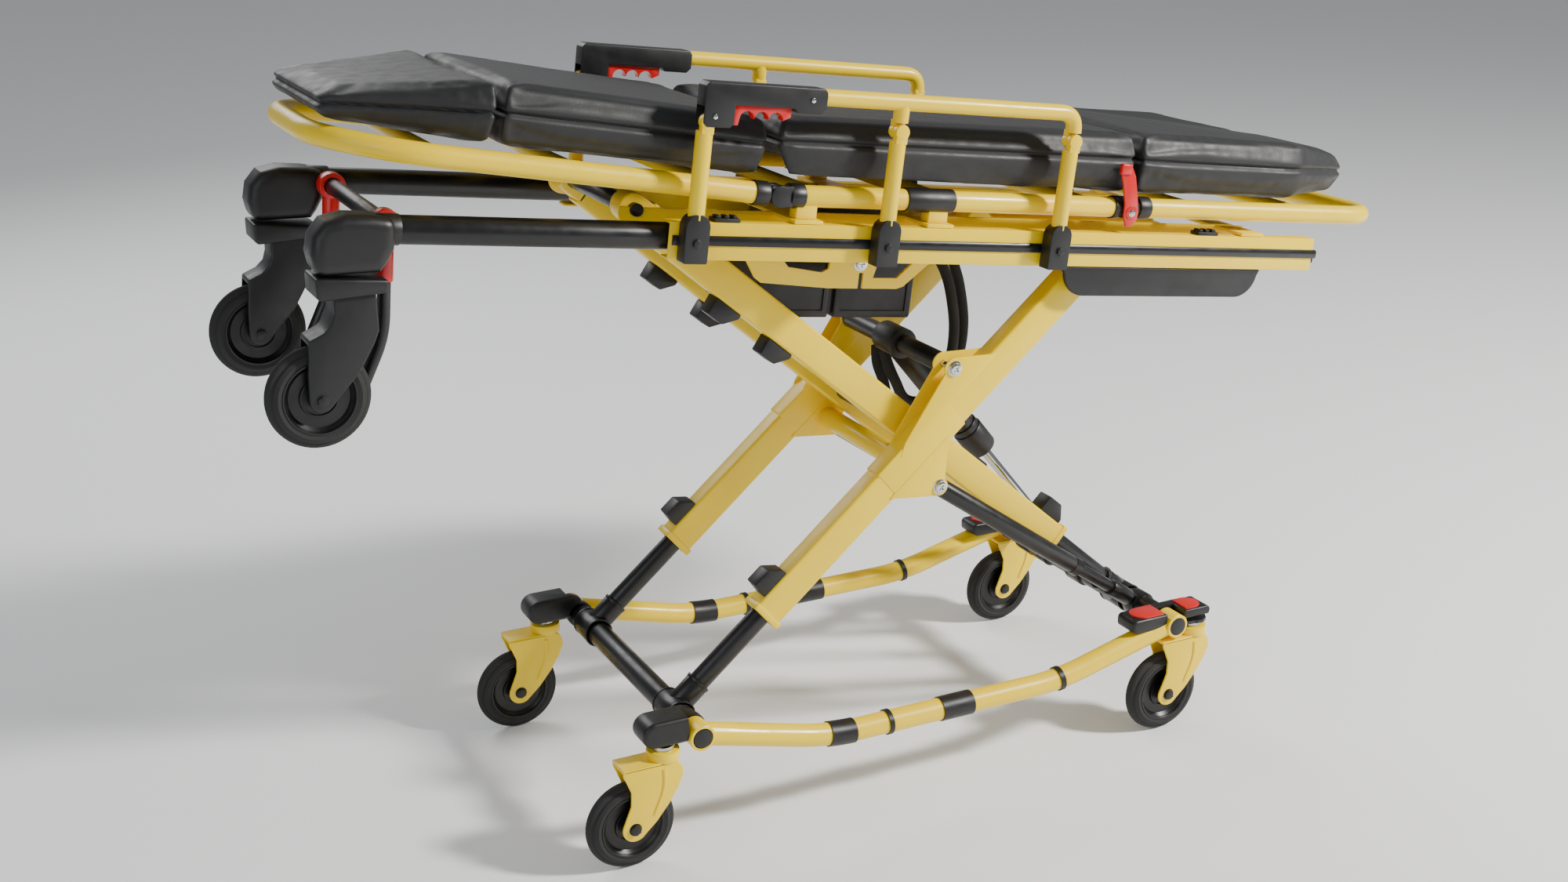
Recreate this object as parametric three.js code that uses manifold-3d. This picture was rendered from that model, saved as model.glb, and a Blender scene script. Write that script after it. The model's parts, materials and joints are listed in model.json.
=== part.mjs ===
// Ambulance cot with an X-shaped telescoping undercarriage, a sectioned litter and a retracting head section.
// Units are millimetres. +X runs to the foot end, +Z is up and the patient's right side faces -Y.
import * as THREE from "three";
import { ConvexGeometry } from "three/addons/geometries/ConvexGeometry.js";
import { mergeVertices } from "three/addons/utils/BufferGeometryUtils.js";
import Module from "manifold-3d";

const wasm = await Module();
wasm.setup();

// ---- Driving dimensions ----
const GAP = 0.4; // between pieces that touch
const ORIGIN_SHIFT = 3.5; // puts the origin under the middle of the cot

// Base and casters
const AXLE_Z = 211;
const HEAD_AXLE_X = -409;
const FOOT_AXLE_X = 537;
const AXLE_R = 21;
const AXLE_PIN_R = 16; // past the cross tube's ends
const AXLE_END = 236; // |y| of the cross tube's ends
const SLEEVE_R = 25.5;
const BASE_Y = 277;
const BASE_TUBE_R = 19.5;
const BASE_LOW_Z = 149;
const BASE_BEND_HEAD_X = -170;
const BASE_BEND_FOOT_X = 292;
const EYE_R = 22;
const EYE_CAP_R = 16.5;
const EYE_IN = 257.7; // |y| where the eye starts
const EYE_OUT = 299;
const WHEEL_R = 76;
const WHEEL_X = 528.4;
const WHEEL_Y = 272;
const CASTER_TRAIL = 60;
const FORK_TOP_Z = 205.6;
const FORK_SHOULDER = 183; // passes under the eyes
const FORK_COLLAR_R = 27.4;
const PEDAL_FLOOR_Z = 218.5;

// Undercarriage
const LEG_ANGLE = 40.45; // degrees, both legs
const PIVOT_S = 621.6; // from each axle to the crossing
const LEG_HALF_HEIGHT = 28;
const LEG_WALL = 3.5;
const OUTER_LEG = [162, 200]; // |y|
const INNER_LEG = [104, 144];
const OUTER_LEG_START = 210;
const OUTER_TOP_PIN = 432; // beyond the crossing
const INNER_LEG_START = 213;
const INNER_TOP_PIN = 664;
const TELESCOPE_END = 340;
const EAR_BOLT = [107.6, 63]; // along and above the outer leg, from the crossing
const TAB_BOLT = [-43.6, -78.9];
const CYLINDER_LENGTH = 300;
const ROD_END_GAP = 5; // rods stop short of the foot axle's seats, where the linkage is open

// Litter, in its own tilted frame: u along, w up
const LITTER_TILT = 7.1;
const LITTER_ORIGIN_Z = 955;
const CHANNEL = { start: -425, end: 845, inner: 203, outer: 229, low: -26, high: 32, wall: 4 };
const LITTER_TUBE_R = 17;
const LITTER_TUBE_Y = 205;
const HINGE_W = 73;
const BACK_HINGE_U = -240;
const LEG_HINGE_U = 430;
const BACKREST_RAISED = 4;
const LITTER_PIN = [-449.1, 34.9]; // inner legs' top pin
const PLATE_Y = [148, 154];

// Side rails
const RAIL_Y = 247.5;
const RAIL_TUBE_R = 13;
const RAIL_W = 230;
const POST_U = [-393, -62, 266];
const POST_NAMES = ["head", "middle", "foot"];
const POST_FOOT_W = 5;
const POST_TOP_W = 185;

// Head section
const HEAD_TUBE_R = 21;
const HEAD_TUBE_Y = 200;
const HEAD_CROSS = [-834, 5];
const LOAD_WHEEL = [-951, 195, 834];

const SIDES = { right: -1, left: 1 };

// ---- Finishes ----
function finish(color, roughness, metalness) {
  return new THREE.MeshStandardMaterial({ color, roughness, metalness });
}
const YELLOW = finish(0xffc400, 0.3, 0.0);
const BLACK = finish(0x1c1c1e, 0.45, 0.0);
const RED = finish(0xd81010, 0.4, 0.0);
const RUBBER = finish(0x262626, 0.75, 0.0);
const STEEL = finish(0xc9c9cc, 0.2, 1.0);
const VINYL = finish(0x2c2c2f, 0.6, 0.0);

// ---- Shape kit ----
function solidOf(geometry) {
  const bare = geometry.index ? geometry.toNonIndexed() : geometry.clone();
  bare.deleteAttribute("normal");
  bare.deleteAttribute("uv");
  const merged = mergeVertices(bare, 1e-3);
  const mesh = new wasm.Mesh({
    numProp: 3,
    vertProperties: merged.attributes.position.array,
    triVerts: new Uint32Array(merged.index.array),
  });
  return new wasm.Manifold(mesh);
}

function geometryOf(solid) {
  const mesh = solid.getMesh();
  const geometry = new THREE.BufferGeometry();
  geometry.setAttribute("position", new THREE.BufferAttribute(mesh.vertProperties, 3));
  geometry.setIndex(new THREE.BufferAttribute(mesh.triVerts, 1));
  const flat = geometry.toNonIndexed();
  flat.computeVertexNormals();
  return flat;
}

function join(solids) {
  return solids.reduce((sum, next) => sum.add(next));
}

function cut(solid, tools) {
  return tools.reduce((left, tool) => left.subtract(tool), solid);
}

function box([x0, y0, z0], [x1, y1, z1]) {
  const size = [Math.abs(x1 - x0), Math.abs(y1 - y0), Math.abs(z1 - z0)];
  const block = new THREE.BoxGeometry(...size);
  return solidOf(block.translate((x0 + x1) / 2, (y0 + y1) / 2, (z0 + z1) / 2));
}

/** A round bar; flat < 1 squeezes its section along Y. */
function bar(from, to, radius, sides = 12, flat = 1) {
  const start = new THREE.Vector3(...from);
  const end = new THREE.Vector3(...to);
  const way = end.clone().sub(start);
  const cylinder = new THREE.CylinderGeometry(radius, radius, way.length(), sides);
  cylinder.rotateY(Math.PI / sides);
  cylinder.scale(flat, 1, 1);
  const turn = new THREE.Quaternion().setFromUnitVectors(new THREE.Vector3(0, 1, 0), way.normalize());
  const middle = start.add(end).multiplyScalar(0.5);
  return solidOf(cylinder.applyQuaternion(turn).translate(...middle));
}

/** A disc whose axis is Y. */
function disc(x, z, radius, y0, y1, sides = 12) {
  return bar([x, y0, z], [x, y1, z], radius, sides);
}

/** An outline in X and Z, extruded along Y. */
function plate(outline, y0, y1) {
  const shape = new THREE.Shape(outline.map(([x, z]) => new THREE.Vector2(x, z)));
  const depth = Math.abs(y1 - y0);
  const slab = new THREE.ExtrudeGeometry(shape, { depth, bevelEnabled: false });
  slab.rotateX(Math.PI / 2);
  return solidOf(slab.translate(0, Math.max(y0, y1), 0));
}

/** Points on an arc in the X and Z plane, angles in degrees. */
function arc(x, z, radius, from, to, steps) {
  return Array.from({ length: steps + 1 }, (_, i) => {
    const angle = THREE.MathUtils.degToRad(from + ((to - from) * i) / steps);
    return [x + radius * Math.cos(angle), z + radius * Math.sin(angle)];
  });
}

/** A curve that passes through fixed stations, so that a sweep puts one ring at each. */
class StationCurve extends THREE.Curve {
  constructor(stations) {
    super();
    this.stations = stations;
  }
  getPoint(t, target = new THREE.Vector3()) {
    const place = Math.min(Math.max(t, 0), 1) * (this.stations.length - 1);
    const index = Math.min(Math.floor(place), this.stations.length - 2);
    return target.lerpVectors(this.stations[index], this.stations[index + 1], place - index);
  }
  getUtoTmapping(u) {
    return u;
  }
}

/** Rounds the corners of a route with bends of the given reach. */
function rounded(corners, reach, steps = 4) {
  const points = corners.map((corner) => new THREE.Vector3(...corner));
  const stations = [points[0]];
  for (let i = 1; i < points.length - 1; i += 1) {
    const before = points[i].clone().sub(points[i - 1]).setLength(reach);
    const after = points[i + 1].clone().sub(points[i]).setLength(reach);
    const start = points[i].clone().sub(before);
    const bend = new THREE.QuadraticBezierCurve3(start, points[i], points[i].clone().add(after));
    stations.push(...bend.getPoints(steps));
  }
  stations.push(points.at(-1));
  return stations;
}

/** A round tube swept through stations. */
function tube(stations, radius, sides = 10) {
  const ring = arc(0, 0, radius, 0, 360 - 360 / sides, sides - 1);
  const section = new THREE.Shape(ring.map((point) => new THREE.Vector2(...point)));
  const path = new StationCurve(stations);
  const options = { steps: stations.length - 1, extrudePath: path, bevelEnabled: false };
  return solidOf(new THREE.ExtrudeGeometry(section, options));
}

function hull(points) {
  return solidOf(new ConvexGeometry(points.map((point) => new THREE.Vector3(...point))));
}

function bothSides(make) {
  return Object.values(SIDES).flatMap((side) => make(side));
}

/** A square leg along X with its hollow, as [solid, hollow]. */
function hollowLeg(x0, x1, side, [inner, outer]) {
  const leg = box([x0, side * inner, -LEG_HALF_HEIGHT], [x1, side * outer, LEG_HALF_HEIGHT]);
  const room = LEG_HALF_HEIGHT - LEG_WALL;
  const hollow = box(
    [x0 - 9, side * (inner + LEG_WALL), -room],
    [x1 + 9, side * (outer - LEG_WALL), room],
  );
  return [leg, hollow];
}

const cot = new THREE.Group();
cot.name = "ambulance_cot";
cot.position.x = ORIGIN_SHIFT;

function place(parent, name, solid, material) {
  const mesh = new THREE.Mesh(geometryOf(solid), material);
  mesh.name = name;
  parent.add(mesh);
}

// ---- Base ----
function baseSideTube(side) {
  const y = side * BASE_Y;
  const route = rounded(
    [
      [HEAD_AXLE_X, y, AXLE_Z],
      [BASE_BEND_HEAD_X, y, BASE_LOW_Z],
      [BASE_BEND_FOOT_X, y, BASE_LOW_Z],
      [FOOT_AXLE_X, y, AXLE_Z],
    ],
    45,
    3,
  );
  const eyes = [HEAD_AXLE_X, FOOT_AXLE_X].map((x) =>
    disc(x, AXLE_Z, EYE_R, side * EYE_IN, side * EYE_OUT, 16),
  );
  const pedalPin = disc(FOOT_AXLE_X, AXLE_Z, AXLE_PIN_R, side * 238, side * (EYE_IN + 1));
  const bore = disc(HEAD_AXLE_X, AXLE_Z, EYE_CAP_R + 0.9, side * 240, side * 310, 16);
  return cut(join([tube(route, BASE_TUBE_R), ...eyes, pedalPin]), [bore]);
}

function headCasterArm(side) {
  const outline = [
    ...arc(-486, 228, 22, 90, 270, 6),
    [-420, 206],
    [-404, 218],
    [-404, 240],
    [-420, 250],
  ];
  const arm = plate(outline, side * 240, side * 293);
  const boss = disc(HEAD_AXLE_X, AXLE_Z, 24, side * 240, side * 256.5, 16);
  const eyeRoom = disc(HEAD_AXLE_X, AXLE_Z, EYE_R + 1.2, side * 256.6, side * 300, 16);
  const endRoom = box([-431, side * 256.6, 180], [-390, side * 300, 260]);
  const bore = disc(HEAD_AXLE_X, AXLE_Z, AXLE_PIN_R + 0.9, side * 230, side * 300, 16);
  return cut(join([arm, boss]), [eyeRoom, bore, endRoom]);
}

function footCasterArm(side) {
  const low = FORK_TOP_Z + GAP;
  const strap = box([562, side * 252, low], [594, side * 292, low + 6]);
  const seat = bar([592, side * WHEEL_Y, low], [592, side * WHEEL_Y, low + 6], 24);
  return join([strap, seat]);
}

function brakePedal(side) {
  const foot = FOOT_AXLE_X;
  const toeLobe = [
    [440, 211],
    [440, 232],
    [448, 239],
    [520, 239],
    [520, 231.5],
  ];
  const heelLobe = [
    [556, PEDAL_FLOOR_Z],
    [556, 239],
    [611, 239],
    [618, 232],
    [618, PEDAL_FLOOR_Z],
  ];
  const lobes = [toeLobe, heelLobe].map((outline) => plate(outline, side * 240, side * 293));
  const bridge = box([500, side * 240, 226], [575, side * 256.5, 239]);
  const hub = disc(foot, AXLE_Z, 22, side * 240, side * 256.5, 16);
  const eyeRoom = disc(foot, AXLE_Z, EYE_R + 1.5, side * 256.6, side * 300, 16);
  const bore = disc(foot, AXLE_Z, AXLE_PIN_R + 0.9, side * 230, side * 260, 16);
  return cut(join([...lobes, bridge, hub]), [eyeRoom, bore]);
}

// A caster's outline is measured from its wheel's centre.
function casterFork() {
  const top = FORK_SHOULDER - WHEEL_R;
  const seat = FORK_TOP_Z - WHEEL_R;
  const cheek = [
    [-18, top],
    [-16, top - 14],
    [-8, 92],
    [-2, 70],
    [-3, 45],
    ...arc(0, 0, 22, 150, 330, 6),
    [53, 26],
    [76, 60],
    [87, 84],
    [83, top - 12],
    [70, top],
  ];
  const cheeks = bothSides((side) => plate(cheek, side * 24, side * 28));
  const bosses = bothSides((side) => disc(0, 0, 12, side * 19.6, side * 25, 12));
  const crown = box([-18, -28, top - 5], [70, 28, top]);
  const collar = bar([CASTER_TRAIL, 0, top - 2], [CASTER_TRAIL, 0, seat], FORK_COLLAR_R, 14);
  return join([...cheeks, ...bosses, crown, collar]);
}

function wheel(radius, sides = 20) {
  const rim = radius / Math.cos(Math.PI / sides); // flats touch the floor
  const profile = [
    [0, -19],
    [20, -19],
    [22, -15],
    [rim, -9],
    [rim, 9],
    [22, 15],
    [20, 19],
    [0, 19],
  ];
  const lathe = new THREE.LatheGeometry(profile.map(([r, y]) => new THREE.Vector2(r, y)), sides);
  return solidOf(lathe.rotateY(Math.PI / sides));
}

function addBase() {
  for (const [name, side] of Object.entries(SIDES)) {
    place(cot, `base_side_tube_${name}`, baseSideTube(side), YELLOW);
    place(cot, `head_caster_arm_${name}`, headCasterArm(side), BLACK);
    place(cot, `foot_caster_arm_${name}`, footCasterArm(side), BLACK);
    place(cot, `brake_pedal_${name}`, brakePedal(side), BLACK);
    for (const [end, way] of [
      ["head", -1],
      ["foot", 1],
    ]) {
      const caster = new THREE.Group();
      caster.position.set(way * WHEEL_X, side * WHEEL_Y, WHEEL_R);
      cot.add(caster);
      place(caster, `caster_fork_${end}_${name}`, casterFork(), YELLOW);
      place(caster, `caster_wheel_${end}_${name}`, wheel(WHEEL_R), RUBBER);
    }
  }
}

// ---- Undercarriage: each leg pair is built along X from its own axle ----
function telescope(side, [inner, outer], way) {
  const y = (side * (inner + outer)) / 2;
  const tubeSolid = bar([0, y, 0], [way * TELESCOPE_END, y, 0], 19, 10, 15 / 19);
  const collar = bar([way * 8, y, 0], [way * 50, y, 0], 22, 12, 18 / 22);
  const sleeve = disc(0, 0, SLEEVE_R, y - 30, y + 30);
  return [tubeSolid, collar, sleeve];
}

function outerLowerFrame() {
  const axle = disc(0, 0, AXLE_R, -AXLE_END, AXLE_END, 16);
  const pin = disc(0, 0, AXLE_PIN_R, -EYE_IN - 1, EYE_IN + 1);
  const caps = bothSides((side) => disc(0, 0, EYE_CAP_R, side * EYE_IN, side * (EYE_OUT - 1), 16));
  return join([axle, pin, ...caps, ...bothSides((side) => telescope(side, OUTER_LEG, 1))]);
}

function innerLowerFrame() {
  const axle = disc(0, 0, AXLE_R, -AXLE_END, AXLE_END, 16);
  const strutSeats = bothSides((side) => disc(0, 0, SLEEVE_R, side * 166, side * 196));
  const cylinderSeat = disc(0, 0, SLEEVE_R, -22, 22);
  const telescopes = bothSides((side) => telescope(side, INNER_LEG, -1));
  return join([axle, ...strutSeats, cylinderSeat, ...telescopes]);
}

/** A flat lug with a round end at its bolt, from the crossing along the outer leg. */
function earOutline() {
  const [along, above] = EAR_BOLT;
  return [
    [-62, 20],
    [-40, 34],
    ...arc(along, above, 18, 168, 90 - LEG_ANGLE, 4),
    [182, 20],
  ].map(([x, z]) => [PIVOT_S + x, z]);
}

function tabOutline() {
  const [along, above] = TAB_BOLT;
  return [
    [28, -20],
    ...arc(along, above, 15, 10, -130, 4),
    [-122, -20],
  ].map(([x, z]) => [PIVOT_S + x, z]);
}

function outerLegFrame() {
  const end = PIVOT_S + OUTER_TOP_PIN + 9;
  const solids = [];
  const hollows = [];
  for (const side of Object.values(SIDES)) {
    const [leg, hollow] = hollowLeg(OUTER_LEG_START, end, side, OUTER_LEG);
    hollows.push(hollow);
    solids.push(
      leg,
      box([OUTER_LEG_START, side * 160, -31], [OUTER_LEG_START + 12, side * 202, 31]),
      box([PIVOT_S - 110, side * 160, -31], [PIVOT_S + 62, side * 202, 31]),
      plate(earOutline(), side * 160, side * 164),
      plate(earOutline(), side * 198, side * 202),
      plate(tabOutline(), side * 160, side * 164),
      plate(tabOutline(), side * 198, side * 202),
      disc(PIVOT_S, 0, 14, side * 144.4, side * 161),
      disc(end - 9, 0, 9, side * 199, side * 224, 12),
    );
    const [along, above] = EAR_BOLT;
    hollows.push(disc(PIVOT_S + along, above, 6.8, side * 150, side * 210, 12));
  }
  solids.push(disc(PIVOT_S - 46.4, -47.7, 19, -161, 161));
  return cut(join(solids), hollows);
}

function innerLegFrame() {
  const pin = -(PIVOT_S + INNER_TOP_PIN);
  const solids = [disc(pin, 0, 14, -105, 105), disc(-PIVOT_S, 0, 16, -105, 105)];
  const hollows = [];
  for (const side of Object.values(SIDES)) {
    const [leg, hollow] = hollowLeg(pin + 24, -INNER_LEG_START, side, INNER_LEG);
    hollows.push(hollow);
    const collar = box([-INNER_LEG_START - 12, side * 102, -31], [-INNER_LEG_START, side * 146, 31]);
    solids.push(leg, collar);
  }
  const legs = cut(join(solids), hollows);
  const heads = bothSides((side) => [
    disc(pin, 0, 24, side * INNER_LEG[0], side * INNER_LEG[1], 20),
    box([pin, side * INNER_LEG[0], -24], [pin + 30, side * INNER_LEG[1], 24]),
    disc(pin, 0, 10, side * 143, side * 160),
  ]);
  return join([legs, ...heads]);
}

/** A point in the cot's frame from the outer leg's own frame. */
function onOuterLeg(along, above) {
  const angle = THREE.MathUtils.degToRad(LEG_ANGLE);
  const s = PIVOT_S + along;
  return [
    HEAD_AXLE_X + s * Math.cos(angle) - above * Math.sin(angle),
    AXLE_Z + s * Math.sin(angle) + above * Math.cos(angle),
  ];
}

/** A group whose +X points from an outer-leg bolt to the foot axle, and the distance. */
function towardFootAxle([along, above]) {
  const [x, z] = onOuterLeg(along, above);
  const group = new THREE.Group();
  group.position.set(x, 0, z);
  group.rotation.y = Math.atan2(z - AXLE_Z, FOOT_AXLE_X - x);
  cot.add(group);
  return [group, Math.hypot(FOOT_AXLE_X - x, z - AXLE_Z)];
}

function addStruts() {
  const [group, reach] = towardFootAxle(TAB_BOLT);
  const y = (OUTER_LEG[0] + OUTER_LEG[1]) / 2;
  const rodEnd = reach - SLEEVE_R - ROD_END_GAP;
  for (const [name, side] of Object.entries(SIDES)) {
    const eye = disc(0, 0, 14, side * (y - 15), side * (y + 15));
    const body = bar([0, side * y, 0], [380, side * y, 0], 16);
    const bore = bar([30, side * y, 0], [390, side * y, 0], 13, 12);
    place(group, `support_strut_tube_${name}`, cut(join([eye, body]), [bore]), BLACK);
    const rod = bar([300, side * y, 0], [rodEnd, side * y, 0], 11.5, 12);
    const foot = bar([rodEnd - 45, side * y, 0], [rodEnd, side * y, 0], 15);
    place(group, `support_strut_rod_${name}`, join([rod, foot]), BLACK);
  }
}

function addHydraulics() {
  const [group, reach] = towardFootAxle(EAR_BOLT);
  const end = reach - SLEEVE_R - ROD_END_GAP;
  const barrel = join([
    disc(0, 0, 17, -158.5, 158.5),
    disc(0, 0, 6, -203, 203, 12),
    disc(0, 0, 27, -34, 34),
    bar([0, 0, 0], [CYLINDER_LENGTH, 0, 0], 23),
    bar([CYLINDER_LENGTH - 55, 0, 0], [CYLINDER_LENGTH, 0, 0], 28),
  ]);
  const bore = bar([19, 0, 0], [CYLINDER_LENGTH + 9, 0, 0], 10, 12);
  place(group, "hydraulic_cylinder", cut(barrel, [bore]), BLACK);
  const rod = bar([CYLINDER_LENGTH - 10, 0, 0], [end, 0, 0], 9, 12);
  const clevis = bar([end - 40, 0, 0], [end, 0, 0], 15);
  place(group, "piston_rod", join([rod, clevis]), STEEL);
}

function addUndercarriage() {
  const outer = new THREE.Group();
  outer.position.set(HEAD_AXLE_X, 0, AXLE_Z);
  outer.rotation.y = -THREE.MathUtils.degToRad(LEG_ANGLE);
  const inner = new THREE.Group();
  inner.position.set(FOOT_AXLE_X, 0, AXLE_Z);
  inner.rotation.y = THREE.MathUtils.degToRad(LEG_ANGLE);
  cot.add(outer, inner);
  place(outer, "outer_leg_lower_frame", outerLowerFrame(), BLACK);
  place(outer, "outer_leg_frame", outerLegFrame(), YELLOW);
  place(inner, "inner_leg_lower_frame", innerLowerFrame(), BLACK);
  place(inner, "inner_leg_frame", innerLegFrame(), YELLOW);
  addStruts();
  addHydraulics();
}

// ---- Litter ----
const litter = new THREE.Group();
litter.position.z = LITTER_ORIGIN_Z;
litter.rotation.y = THREE.MathUtils.degToRad(LITTER_TILT);
cot.add(litter);

function sideChannel(side) {
  const { start, end, inner, outer, low, high, wall } = CHANNEL;
  const profile = box([start, side * inner, low], [end, side * outer, high]);
  const hollow = box(
    [start - 9, side * (inner - 9), low + wall],
    [end + 9, side * (outer - wall), high - wall],
  );
  const strip = box([start + 5, side * (outer - 1), -4], [end + 6, side * (outer + 4.6), 12]);
  return join([cut(profile, [hollow]), strip]);
}

function litterSubframe() {
  const [pinU, pinW] = LITTER_PIN;
  const low = CHANNEL.high + GAP;
  const high = low + 6;
  const outline = [
    ...arc(pinU, pinW - 6, 24, 90, 270, 4).map(([u, w]) => [u - 4, Math.min(w, high)]),
    [-260, -29],
    [-233, -70],
    [-100, -84],
    [28, -84],
    [95, -30],
    [120, 22],
    [740, 22],
    [740, high],
  ];
  const sides = bothSides((side) => plate(outline, side * PLATE_Y[0], side * PLATE_Y[1]));
  const straps = [-190, 50, 700].map((u) => box([u - 25, -228, low], [u + 25, 228, high]));
  const bores = bothSides((side) => disc(pinU, pinW, 10.8, side * 140, side * 160, 16));
  const windows = bothSides((side) => [
    plate([[-190, -32], [-100, -32], [-105, -58], [-180, -50]], side * 140, side * 160),
    plate([[-20, -40], [60, -30], [20, -66], [-20, -66]], side * 140, side * 160),
  ]);
  return cut(join([...sides, ...straps]), [...bores, ...windows]);
}

function footSkirt(side) {
  const outline = [
    [300, CHANNEL.low - GAP],
    ...arc(352, -32, 45, 190, 270, 4),
    ...arc(682, -32, 45, 270, 350, 4),
    [732, CHANNEL.low - GAP],
  ];
  return plate(outline, side * 218, side * 227);
}

function hydraulicUnit() {
  const cases = [
    box([-200, -98, -146], [-64, 98, -44]),
    box([-54, -98, -146], [95, 98, -44]),
    box([-70, -90, -140], [-48, 90, -50]),
    box([-150, -60, -45], [50, 60, CHANNEL.high]),
  ];
  return join(cases);
}

/** Leaves the pump unit, hangs in a loop behind the cylinder and comes back up to its hub. */
function hoseRoute(y, spread) {
  return [
    [93, y, 876],
    [132, y, 884],
    [178, y, 882],
    [216 + spread, y, 862],
    [240 + spread, y, 822],
    [254 + spread, y, 770],
    [260 + spread, y, 715],
    [252 + spread, y, 660],
    [226 + spread, y, 615],
    [190, y, 592 - spread / 2],
    [158 - spread / 3, y, 602 - spread / 2],
    [140 - spread / 3, y, 634],
    [124 - spread / 4, y, 668],
    [113, y, 700],
  ];
}

function hose(y, spread) {
  const points = hoseRoute(y, spread).map((point) => new THREE.Vector3(...point));
  const curve = new THREE.CatmullRomCurve3(points, false, "centripetal");
  return tube(curve.getSpacedPoints(20), 10, 8);
}

/** Half of a barrel hinge: a tongue round the pin and a web back to its tube. */
function knuckle(side, way, [y0, y1], u = 0, w = 0) {
  return [
    disc(u, w, LITTER_TUBE_R, side * y0, side * y1, 12),
    box([u, side * y0, w - LITTER_TUBE_R], [u + way * 20, side * y1, w + LITTER_TUBE_R]),
  ];
}

const INNER_HALF = [LITTER_TUBE_Y - 17, LITTER_TUBE_Y - 0.3];
const OUTER_HALF = [LITTER_TUBE_Y + 0.3, LITTER_TUBE_Y + 17];
const KNUCKLE_REACH = 18.6;

function seatFrame() {
  const start = BACK_HINGE_U + KNUCKLE_REACH;
  const end = LEG_HINGE_U - KNUCKLE_REACH;
  const rails = bothSides((side) => [
    bar([start, side * LITTER_TUBE_Y, HINGE_W], [end, side * LITTER_TUBE_Y, HINGE_W], LITTER_TUBE_R),
    ...knuckle(side, 1, OUTER_HALF, BACK_HINGE_U, HINGE_W),
    ...knuckle(side, -1, OUTER_HALF, LEG_HINGE_U, HINGE_W),
    ...[-190, 50].map((u) => box([u - 18, side * 192, CHANNEL.high + 6.8], [u + 18, side * 216, HINGE_W])),
  ]);
  const cross = [-170, 60, 360].map((u) => disc(u, HINGE_W, 13, -LITTER_TUBE_Y, LITTER_TUBE_Y, 12));
  return join([...rails, ...cross]);
}

/** A hinged section: two tubes joined by a loop at the far end, from its own hinge. */
function sectionFrame(way, corners, reach, crossPlaces) {
  const route = [
    ...corners.map(([x, y]) => [way * x, -y, 0]),
    ...corners.toReversed().map(([x, y]) => [way * x, y, 0]),
  ];
  const loop = tube(rounded(route, reach, 3), LITTER_TUBE_R, 10);
  const halves = bothSides((side) => knuckle(side, way, INNER_HALF));
  const cross = crossPlaces.map((x) => disc(way * x, 0, 12, -LITTER_TUBE_Y, LITTER_TUBE_Y, 12));
  return join([loop, ...halves, ...cross]);
}

/** A cushion that is widest at its seam: corners are [x, half width, low, seam, high]. */
function cushion(corners, lip = 9, shoulder = 17) {
  const middle = (corners[0][0] + corners.at(-1)[0]) / 2;
  const points = [];
  for (const [x, halfWidth, low, seam, high] of corners) {
    const inward = lip * Math.sign(middle - x);
    for (const side of Object.values(SIDES)) {
      points.push([x + inward, side * (halfWidth - shoulder), low]);
      points.push([x, side * halfWidth, seam]);
      points.push([x + inward, side * (halfWidth - shoulder), high]);
    }
  }
  return hull(points);
}

function footLever() {
  const outline = [
    [6, -25],
    [16, -4],
    [8, 30],
    [-14, 80],
    [-34, 82],
    [-20, 34],
    [-14, -6],
    [-8, -25],
  ];
  const lever = plate(outline, -225, -230);
  const grip = box([-36, -225, 66], [-16, -234, 82]);
  return join([lever, grip, disc(0, 0, 9, -222.4, -232, 12)]);
}

function addLitter() {
  for (const [name, side] of Object.entries(SIDES)) {
    place(litter, `side_channel_${name}`, sideChannel(side), YELLOW);
    place(litter, `foot_skirt_${name}`, footSkirt(side), BLACK);
  }
  place(litter, "litter_subframe", litterSubframe(), YELLOW);
  place(litter, "hydraulic_unit", hydraulicUnit(), BLACK);
  place(cot, "hydraulic_hose_inner", hose(50, 0), RUBBER);
  place(cot, "hydraulic_hose_outer", hose(76, 36), RUBBER);
  place(litter, "seat_frame", seatFrame(), YELLOW);
  const seat = [
    [-252, 222, 144, 156, 193],
    [-226, 222, 95, 156, 193],
    [431, 222, 95, 156, 197],
  ];
  place(litter, "mattress_seat", cushion(seat), VINYL);

  const back = new THREE.Group();
  back.position.set(BACK_HINGE_U, 0, HINGE_W);
  back.rotation.y = THREE.MathUtils.degToRad(BACKREST_RAISED);
  const backLoop = [
    [KNUCKLE_REACH, 205],
    [588, 205],
    [697, 122],
  ];
  const backCushion = [
    [-456, 222, 22, 72, 115],
    [-34, 222, 24, 76, 114],
  ];
  const headCushion = [
    [-705, 152, 22, 46, 66],
    [-465, 222, 22, 71, 115],
  ];
  place(back, "backrest_frame", sectionFrame(-1, backLoop, 62, [100, 330, 540]), YELLOW);
  place(back, "mattress_back", cushion(backCushion), VINYL);
  place(back, "mattress_head", cushion(headCushion, 14), VINYL);

  const leg = new THREE.Group();
  leg.position.set(LEG_HINGE_U, 0, HINGE_W);
  const legLoop = [
    [KNUCKLE_REACH, 205],
    [572, 205],
  ];
  const legCushion = [
    [10, 222, 22, 81, 125],
    [366, 222, 22, 79, 124],
    [560, 122, 24, 68, 100],
  ];
  place(leg, "leg_frame", sectionFrame(1, legLoop, 78, [150, 400]), YELLOW);
  place(leg, "mattress_leg", cushion(legCushion), VINYL);
  litter.add(back, leg);

  const lever = new THREE.Group();
  lever.position.set(424, 0, 68);
  litter.add(lever);
  place(lever, "foot_release_lever", footLever(), RED);
}

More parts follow.
